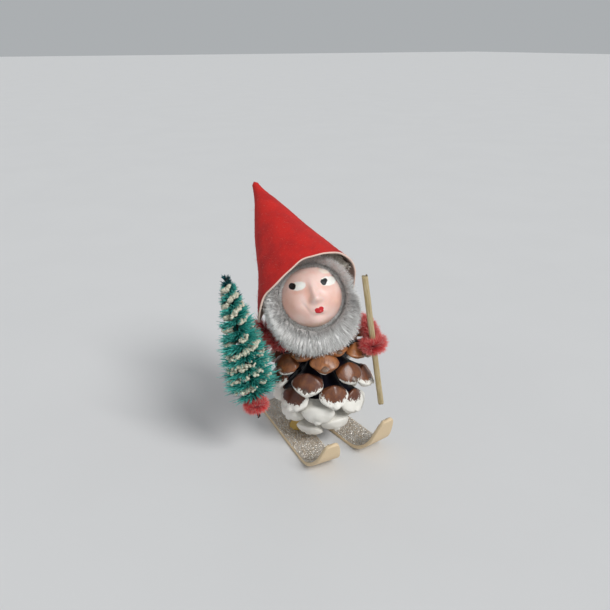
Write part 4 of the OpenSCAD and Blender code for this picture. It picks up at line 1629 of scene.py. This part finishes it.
@dataclass
class Hat:
    """A rolled cone of flocked paper with a wavy rim, a lapped seam, a crease and a pinched tip."""

    tip: tuple[float, float, float] = (-7.8, 31.0, 82.4)
    mouth: tuple[float, float, float] = (-3.8, 1.1, 52.0)
    half_angle: float = math.radians(22.7)
    rim_lean: float = 24.8
    rim_yaw: float = 4.4
    floor: float = 44.2
    wall: float = 0.5
    blunt: float = 1.0
    tip_r: float = 1.0
    cut_swell: float = 0.09
    quick_share: float = 0.4
    rows: int = 84
    sides: int = 180

    def __post_init__(self) -> None:
        """Works the cone's axes and the rim's plane out."""
        self.axis = unit(np.subtract(self.mouth, self.tip))
        self.first = unit(np.cross(self.axis, [1, 0, 0]))
        self.second = np.cross(self.axis, self.first)
        yaw = Matrix.Rotation(math.radians(self.rim_yaw), 3, "Z")
        lean = Matrix.Rotation(math.radians(self.rim_lean), 3, "X")
        self.rim_normal = np.array(yaw @ lean @ Vector((0, 1, 0)))

    def bearing(self, toward) -> float:
        """The turn about the axis that faces a direction."""
        return math.atan2(np.dot(toward, self.second), np.dot(toward, self.first))

    def ray(self, turn: float) -> np.ndarray:
        """The way down the wall at a turn about the axis."""
        return round_way(self.axis, round_way(self.first, self.second, turn), self.half_angle)

    def slant(self, turn: float) -> float:
        """How long the wall is at a turn, down to the wavy rim."""
        way = self.ray(turn)
        rim = np.dot(np.subtract(self.mouth, self.tip), self.rim_normal) / np.dot(way, self.rim_normal)
        floor = (self.floor - self.tip[2]) / min(way[2], -1e-3)
        soft = 1.2
        length = -soft * math.log(math.exp(-(rim - 40) / soft) + math.exp(-(floor - 40) / soft)) + 40
        wave = 0.32 * math.sin(3 * turn + 0.6) + 0.22 * math.sin(7 * turn + 2.0) + 0.10 * math.sin(13 * turn)
        arch = 1.2 * math.exp(-(((turn - 0.25 + math.pi) % TURN - math.pi) / 0.55) ** 2)
        return length + wave - arch - 0.2

    def dents(self, turn: float, far: float, where) -> float:
        """How far the wall is pushed out or in."""
        left = self.bearing([-0.866, 0.5, -0.2])
        across = (turn - left + math.pi) % TURN - math.pi
        out = 0.40 * rough(where, 14.0, 3.0) + 0.10 * rough(where, 4.0, 5.0)
        out -= 0.80 * math.exp(-((across / 0.42) ** 2) - ((far - 33.0) / 5.5) ** 2)
        out += 0.55 * math.exp(-(((across + 0.75) / 0.25) ** 2)) * smooth(12, 40, far)
        lap = (turn - left - 0.30 + math.pi) % TURN - math.pi
        return out + 0.30 * float(smooth(-0.015, 0.015, lap) * smooth(0.30, 0.0, lap))

    def shell(self) -> Draft:
        """The wall, inside and out, with its cut rim and closed tip."""
        turns = np.linspace(0, TURN, self.sides, endpoint=False)
        slants = [self.slant(t) for t in turns]
        shares = np.linspace(0, 1, self.rows) ** 0.9
        outer, inner = [], []
        for share in shares:
            for turn, slant in zip(turns, slants):
                far = self.blunt + (slant - self.blunt) * share
                way = self.ray(turn)
                slim = far * math.sin(self.half_angle)
                full = math.hypot(slim, self.tip_r) - slim
                spot = np.array(self.tip) + way * far + unit(way - self.axis * np.dot(way, self.axis)) * full
                square = unit(np.cross(np.cross(self.axis, way), way)) * -1
                if np.dot(square, way - self.axis * np.dot(way, self.axis)) < 0:
                    square = -square
                push = self.dents(turn, far, spot) * float(smooth(self.blunt, 10, far))
                near_rim = float(smooth(0.97, 1.0, share))
                outer.append(spot + square * (push + 0.12 * near_rim))
                inner.append(spot + square * (push - self.wall))
        size, last = self.rows * self.sides, (self.rows - 1) * self.sides
        middle = [
            outer[last + k] * 0.5 + inner[last + k] * 0.5 + self.ray(turns[k]) * self.cut_swell
            for k in range(self.sides)
        ]
        tip_out = np.mean(outer[: self.sides], 0) - self.axis * 1.1
        tip_in = np.mean(inner[: self.sides], 0) - self.axis * 0.4
        points = outer + inner + middle + [tip_out, tip_in]
        faces = ring_faces(self.rows, self.sides) + ring_faces(self.rows, self.sides, size, True)
        for k in range(self.sides):
            ahead = (k + 1) % self.sides
            faces.append((last + k, last + ahead, 2 * size + ahead, 2 * size + k))
            faces.append((2 * size + k, 2 * size + ahead, size + last + ahead, size + last + k))
            faces.append((2 * size + self.sides, ahead, k))
            faces.append((2 * size + self.sides + 1, size + k, size + ahead))
        cut = [0.0] * len(points)
        lining = [0.0] * size + [1.0] * size + [0.5] * self.sides + [0.0, 1.0]
        for k in range(self.sides):
            cut[last + k], cut[2 * size + k], cut[size + last + k] = 0.75, 1.0, 1.0
        draft = Draft()
        draft.add([p.tolist() for p in points], faces, cut=cut, lining=lining)
        return draft

    def outside(self) -> Draft:
        """Only the outer wall, as a guide for stray fibres."""
        whole = self.shell()
        size = self.rows * self.sides
        faces = [face for face in whole.faces if max(face) < size]
        draft = Draft()
        draft.add(whole.points[:size], faces)
        return draft

    def build(self, bench: Bench) -> None:
        """Makes the hat, its stray fibres and the wadding in it."""
        hat = bench.mesh("felt_hat", self.shell(), Finishes.VELOUR)
        bench.settle(hat, Body.ROOT, "red_felt", "hat")
        share = 1.0
        stray = Finishes.STRAY.material()
        for name, seed, amount, reach, thick in (
            ("hat_fuzz", 11, 1.9, 0.75, 0.022), ("hat_stray_hair", 12, 0.05, 3.4, 0.020),
        ):
            fuzz = bench.nap.run(
                bench.mesh("guide", self.outside()), name, seed, stray, Thickness=thick * MM, Curl=0.45,
                Reach=reach * MM, Lift=0.12, **{"Per area": amount * share / MM**2},
            )
            bench.settle(fuzz, Body.ROOT, "red_felt")
        wadding = bench.softened("hat_cotton", "hat_wadding", Finishes.COTTON, 0.6, 0.3, 2.4, 0.8)
        bench.settle(wadding, Body.ROOT, "cotton", "hat_wadding")


# ---------------------------------------------------------------- arms and what they hold


def looped(centre, axis, radius: float, start, sweep: float, count: int = 36) -> np.ndarray:
    """Part of a circle round an axis.

    Args:
        centre: the circle's middle.
        axis: what it goes round.
        radius: how far out it is.
        start: a point that its first point faces.
        sweep: how far round it goes, in degrees.
        count: how many points it has.

    Returns:
        The points.
    """
    axis = unit(axis)
    first = np.subtract(start, centre)
    first = unit(first - axis * first.dot(axis))
    second = np.cross(axis, first)
    turn = np.radians(np.linspace(0, sweep, count))[:, None]
    return np.array(centre) + radius * (np.cos(turn) * first + np.sin(turn) * second)


@dataclass
class ChenilleStem:
    """A length of red chenille stem: a twisted wire in deep pile."""

    name: str
    route: list
    body: Body
    wire_node: str
    pile_node: str
    fibres: int
    pile: float
    seed: int
    loop: np.ndarray | None = None
    loop_pile: float = 2.3
    shoulder: float = 0.0

    def build(self, bench: Bench) -> None:
        """Makes the wire and its pile."""
        points = curve_through(self.route, 10)
        reach = np.linspace(self.shoulder or self.pile, self.pile, len(points))
        if self.loop is not None:
            joined = np.vstack([points[-1], self.loop[0]])
            points = np.vstack([points, np.mean(joined, 0), self.loop])
            reach = np.append(reach, np.full(len(self.loop) + 1, self.loop_pile))
        reach *= 1 - 0.35 * smooth(len(reach) - 6, len(reach), np.arange(len(reach)))
        outs = carried_normals(points)
        wire = bench.twisted(f"{self.name}_twisted_wire", points, outs, 0.2)
        bench.settle(wire, self.body, "wire", self.wire_node)
        bench.pelt(
            bench.path(points, outs, pile=reach), f"{self.name}_chenille", self.seed, Finishes.RED_PILE,
            (self.body, "red_chenille", self.pile_node), self.fibres, 0.075, 0.16, 0.28, 0.25,
        )


@dataclass
class BristleTree:
    """A bottle-brush fir: bristles caught in a twisted wire, with snow glued along their turns."""

    hand: tuple[float, float, float] = (-26.4, -4.6, 21.4)
    lean: tuple[float, float, float] = (-4.4, 7.6, 40.0)
    foot: float = 3.2
    length: float = 38.5
    stub: float = 4.5
    turns: float = 4.5
    clumps: int = 48
    bare: float = 0.22  # share of the clumps that are left out
    grains: int = 26
    quick_share: float = 0.5
    profile: tuple = (
        (0, 0.06, 0.16, 0.35, 0.5, 0.65, 0.8, 0.92, 1.0), (7.0, 8.1, 8.5, 7.9, 6.8, 5.5, 4.2, 3.0, 2.2),
    )

    def line(self, low: float, high: float, count: int) -> tuple[np.ndarray, np.ndarray, np.ndarray]:
        """Points up the tree, a direction square to it at each, and the shares of the way up."""
        way = unit(self.lean)
        points = np.array(self.hand) + np.outer(np.linspace(low, high, count), way)
        side = unit(np.cross(way, [0, 1, 0]))
        return points, np.tile(side, (count, 1)), np.linspace(0, 1, count)

    def snow(self) -> Draft:
        """Centres of the snow's grains, in loose bands between the turns of bristle."""
        way = unit(self.lean)
        side = unit(np.cross(way, [0, 1, 0]))
        deep = np.cross(way, side)
        chance = random.Random(21)
        draft = Draft()
        for clump in range(2 * self.clumps):
            share = (clump // 2 + 0.5) / self.clumps
            if chance.random() < self.bare:
                continue
            height = self.foot + 1.0 + share * (self.length - 3.0) + chance.uniform(-0.7, 0.7)
            span = float(np.interp(share, *self.profile))
            start = TURN * self.turns * share + math.pi * (clump % 2) + math.pi / 2
            for _ in range(self.grains):
                turn = chance.uniform(-0.42, 0.42)
                angle = start + turn
                radius = span * chance.uniform(0.36, 0.80)
                level = height + turn * self.length / self.turns / TURN + chance.uniform(-0.5, 0.5)
                spot = np.array(self.hand) + way * level + radius * round_way(side, deep, angle)
                draft.add([spot.tolist()], size=[chance.uniform(0.30, 0.58) * MM])
        return draft

    def build(self, bench: Bench) -> None:
        """Makes the wire, the bristles and the snow."""
        points, outs, _ = self.line(-self.stub, self.foot + self.length, 90)
        bench.settle(bench.twisted("tree_twisted_wire", points, outs, 0.30), Body.TREE, "wire", "tree_wire")
        place = (Body.TREE, "tree_bristle")
        points, outs, up = self.line(self.foot, self.foot + self.length * 0.93, 90)
        lean = np.outer(0.10 + 0.10 * up, unit(self.lean))
        guide = bench.path(
            points, outs, pile=np.interp(up, *self.profile), spread=0.50, strands=1.0, lean=lean
        )
        bench.pelt(
            guide, "tree_bristle_brush", 7, Finishes.BRISTLE, (*place, "tree_bristles"), 4600, 0.17,
            0.20, 0.30, 0.12, self.turns, self.quick_share,
        )
        points, outs, up = self.line(self.foot + self.length * 0.80, self.foot + self.length - 0.6, 30)
        lean = np.outer(0.25 + 1.1 * up, unit(self.lean))
        guide = bench.path(points, outs, pile=3.9 - 1.6 * up, spread=1.6, lean=lean)
        bench.pelt(
            guide, "tree_tip_bristles", 8, Finishes.TIP_BRISTLE, place, 520, 0.12, 0.14, 0.35, 0.2, 3.0,
            self.quick_share,
        )
        snow = bench.crust.run(
            bench.mesh("guide", self.snow()), "tree_snow_crust", 9, Finishes.SNOW.material(),
            Voxel=0.20 * MM, Grain=0.4 * MM,
        )
        bench.settle(snow, Body.TREE, "tree_snow", "tree_snow")


@dataclass
class SkiStick:
    """A split wooden stick, a little uneven, with broken ends."""

    hand: tuple[float, float, float] = (9.5, -15.9, 38.6)
    lean: tuple[float, float, float] = (-7.6, 1.8, 46.0)
    below: float = 23.2
    length: float = 46.6
    radius: float = 1.0
    sides: int = 18
    rows: int = 90

    def draft(self) -> Draft:
        """The stick's wall and its two rough ends."""
        way = unit(self.lean)
        first = unit(np.cross(way, [0.866, -0.5, 0]))
        second = np.cross(way, first)
        dark_side = math.radians(-70)
        start, ends = np.array(self.hand) - way * self.below, (0, self.rows - 1)
        points, strip, edge = [], [], []
        for row in range(self.rows):
            far = self.length * row / (self.rows - 1)
            for side in range(self.sides):
                angle = TURN * side / self.sides
                cos, sin = math.cos(angle), math.sin(angle)
                flat = 0.07 * math.cos(3 * angle + 0.5) + 0.05 * math.cos(5 * angle)
                wave = 0.06 * rough((far * 0.2, cos, sin), 0.8, 2.0)
                size = self.radius * (0.93 + flat + wave)
                ragged = 0.55 * rough((cos, sin, row), 0.6, 4.0) if row in ends else 0
                out = size * round_way(first, second, angle)
                points.append((start + way * (far + ragged) + out).tolist())
                strip.append((far, 3 * cos, 3 * sin))
                edge.append(max(math.cos(angle - dark_side), 0.0) ** 3)
        faces = ring_faces(self.rows, self.sides)
        for row in (0, self.rows - 1):
            ring = list(range(row * self.sides, (row + 1) * self.sides))
            dip = 0.3 if row == 0 else -0.3
            points.append((np.mean([points[i] for i in ring], 0) + way * dip).tolist())
            faces += [(ring[k], ring[(k + 1) % self.sides], len(points) - 1) for k in range(self.sides)]
            strip.append((self.length * bool(row), 0, 0))
            edge.append(0.5)
        draft = Draft()
        draft.add(points, faces, strip=strip, edge=edge)
        return draft

    def build(self, bench: Bench) -> None:
        """Makes the stick."""
        shaft = bench.mesh("stick_shaft", self.draft(), Finishes.STICK)
        bench.settle(shaft, Body.STICK, "stick_wood", "ski_stick")


# ---------------------------------------------------------------- whole figure


@dataclass
class Tomte:
    """The whole figure, sub-assembly by sub-assembly."""

    collar_route: tuple = (
        (-17.4, 2.8, 41.4), (-16.8, -0.8, 38.6), (-12.5, -3.4, 39.6), (-7.0, -5.0, 40.6), (-1.0, -5.4, 41.0),
        (4.5, -4.6, 41.2), (8.0, -3.5, 41.5),
    )
    right_route: tuple = (
        (-18.0, 4.6, 41.9), (-19.6, 6.0, 39.6), (-20.9, 6.2, 34.0), (-21.6, 5.8, 28.0), (-23.0, 4.0, 23.0),
        (-25.5, -1.2, 20.4),
    )
    left_route: tuple = ((9.4, -4.0, 41.7), (11.6, -6.6, 41.8), (11.6, -11.0, 41.0), (10.2, -14.2, 39.4))

    def build(self, bench: Bench) -> None:
        """Makes every sub-assembly in order."""
        face, tree, stick = FaceFrame(), BristleTree(), SkiStick()
        Ski("right", -8.9, -3.5, 4.4, (-6.2, 3.6), 31).build(bench)
        Ski("left", 7.1, 6.0, 7.4, (5.6, 2.6), 32).build(bench)
        PineCone().build(bench)
        Head(face).build(bench)
        Beard(face).build(bench)
        Hat().build(bench)
        ChenilleStem(
            "collar", list(self.collar_route), Body.ROOT, "collar_wire", "collar_pile", 5200, 3.0, 13
        ).build(bench)
        right_loop = looped(tree.hand, tree.lean, 2.1, self.right_route[-1], 330)
        ChenilleStem(
            "arm_right", list(self.right_route), Body.ARM_RIGHT, "arm_right_wire", "arm_right_pile", 8800,
            3.2, 14, right_loop, 2.5, 5.4,
        ).build(bench)
        left_loop = looped(stick.hand, stick.lean, 2.0, self.left_route[-1], 330)
        ChenilleStem(
            "arm_left", list(self.left_route), Body.ARM_LEFT, "arm_left_wire", "arm_left_pile", 7000, 3.3, 15,
            left_loop, 3.0,
        ).build(bench)
        tree.build(bench)
        stick.build(bench)


def main() -> None:
    """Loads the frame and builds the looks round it."""
    logging.basicConfig(level=logging.INFO, format="%(name)s %(message)s")
    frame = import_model()
    bench = Bench(frame)
    Studio().build(bench)
    Tomte().build(bench)


if __name__ == "__main__":
    main()
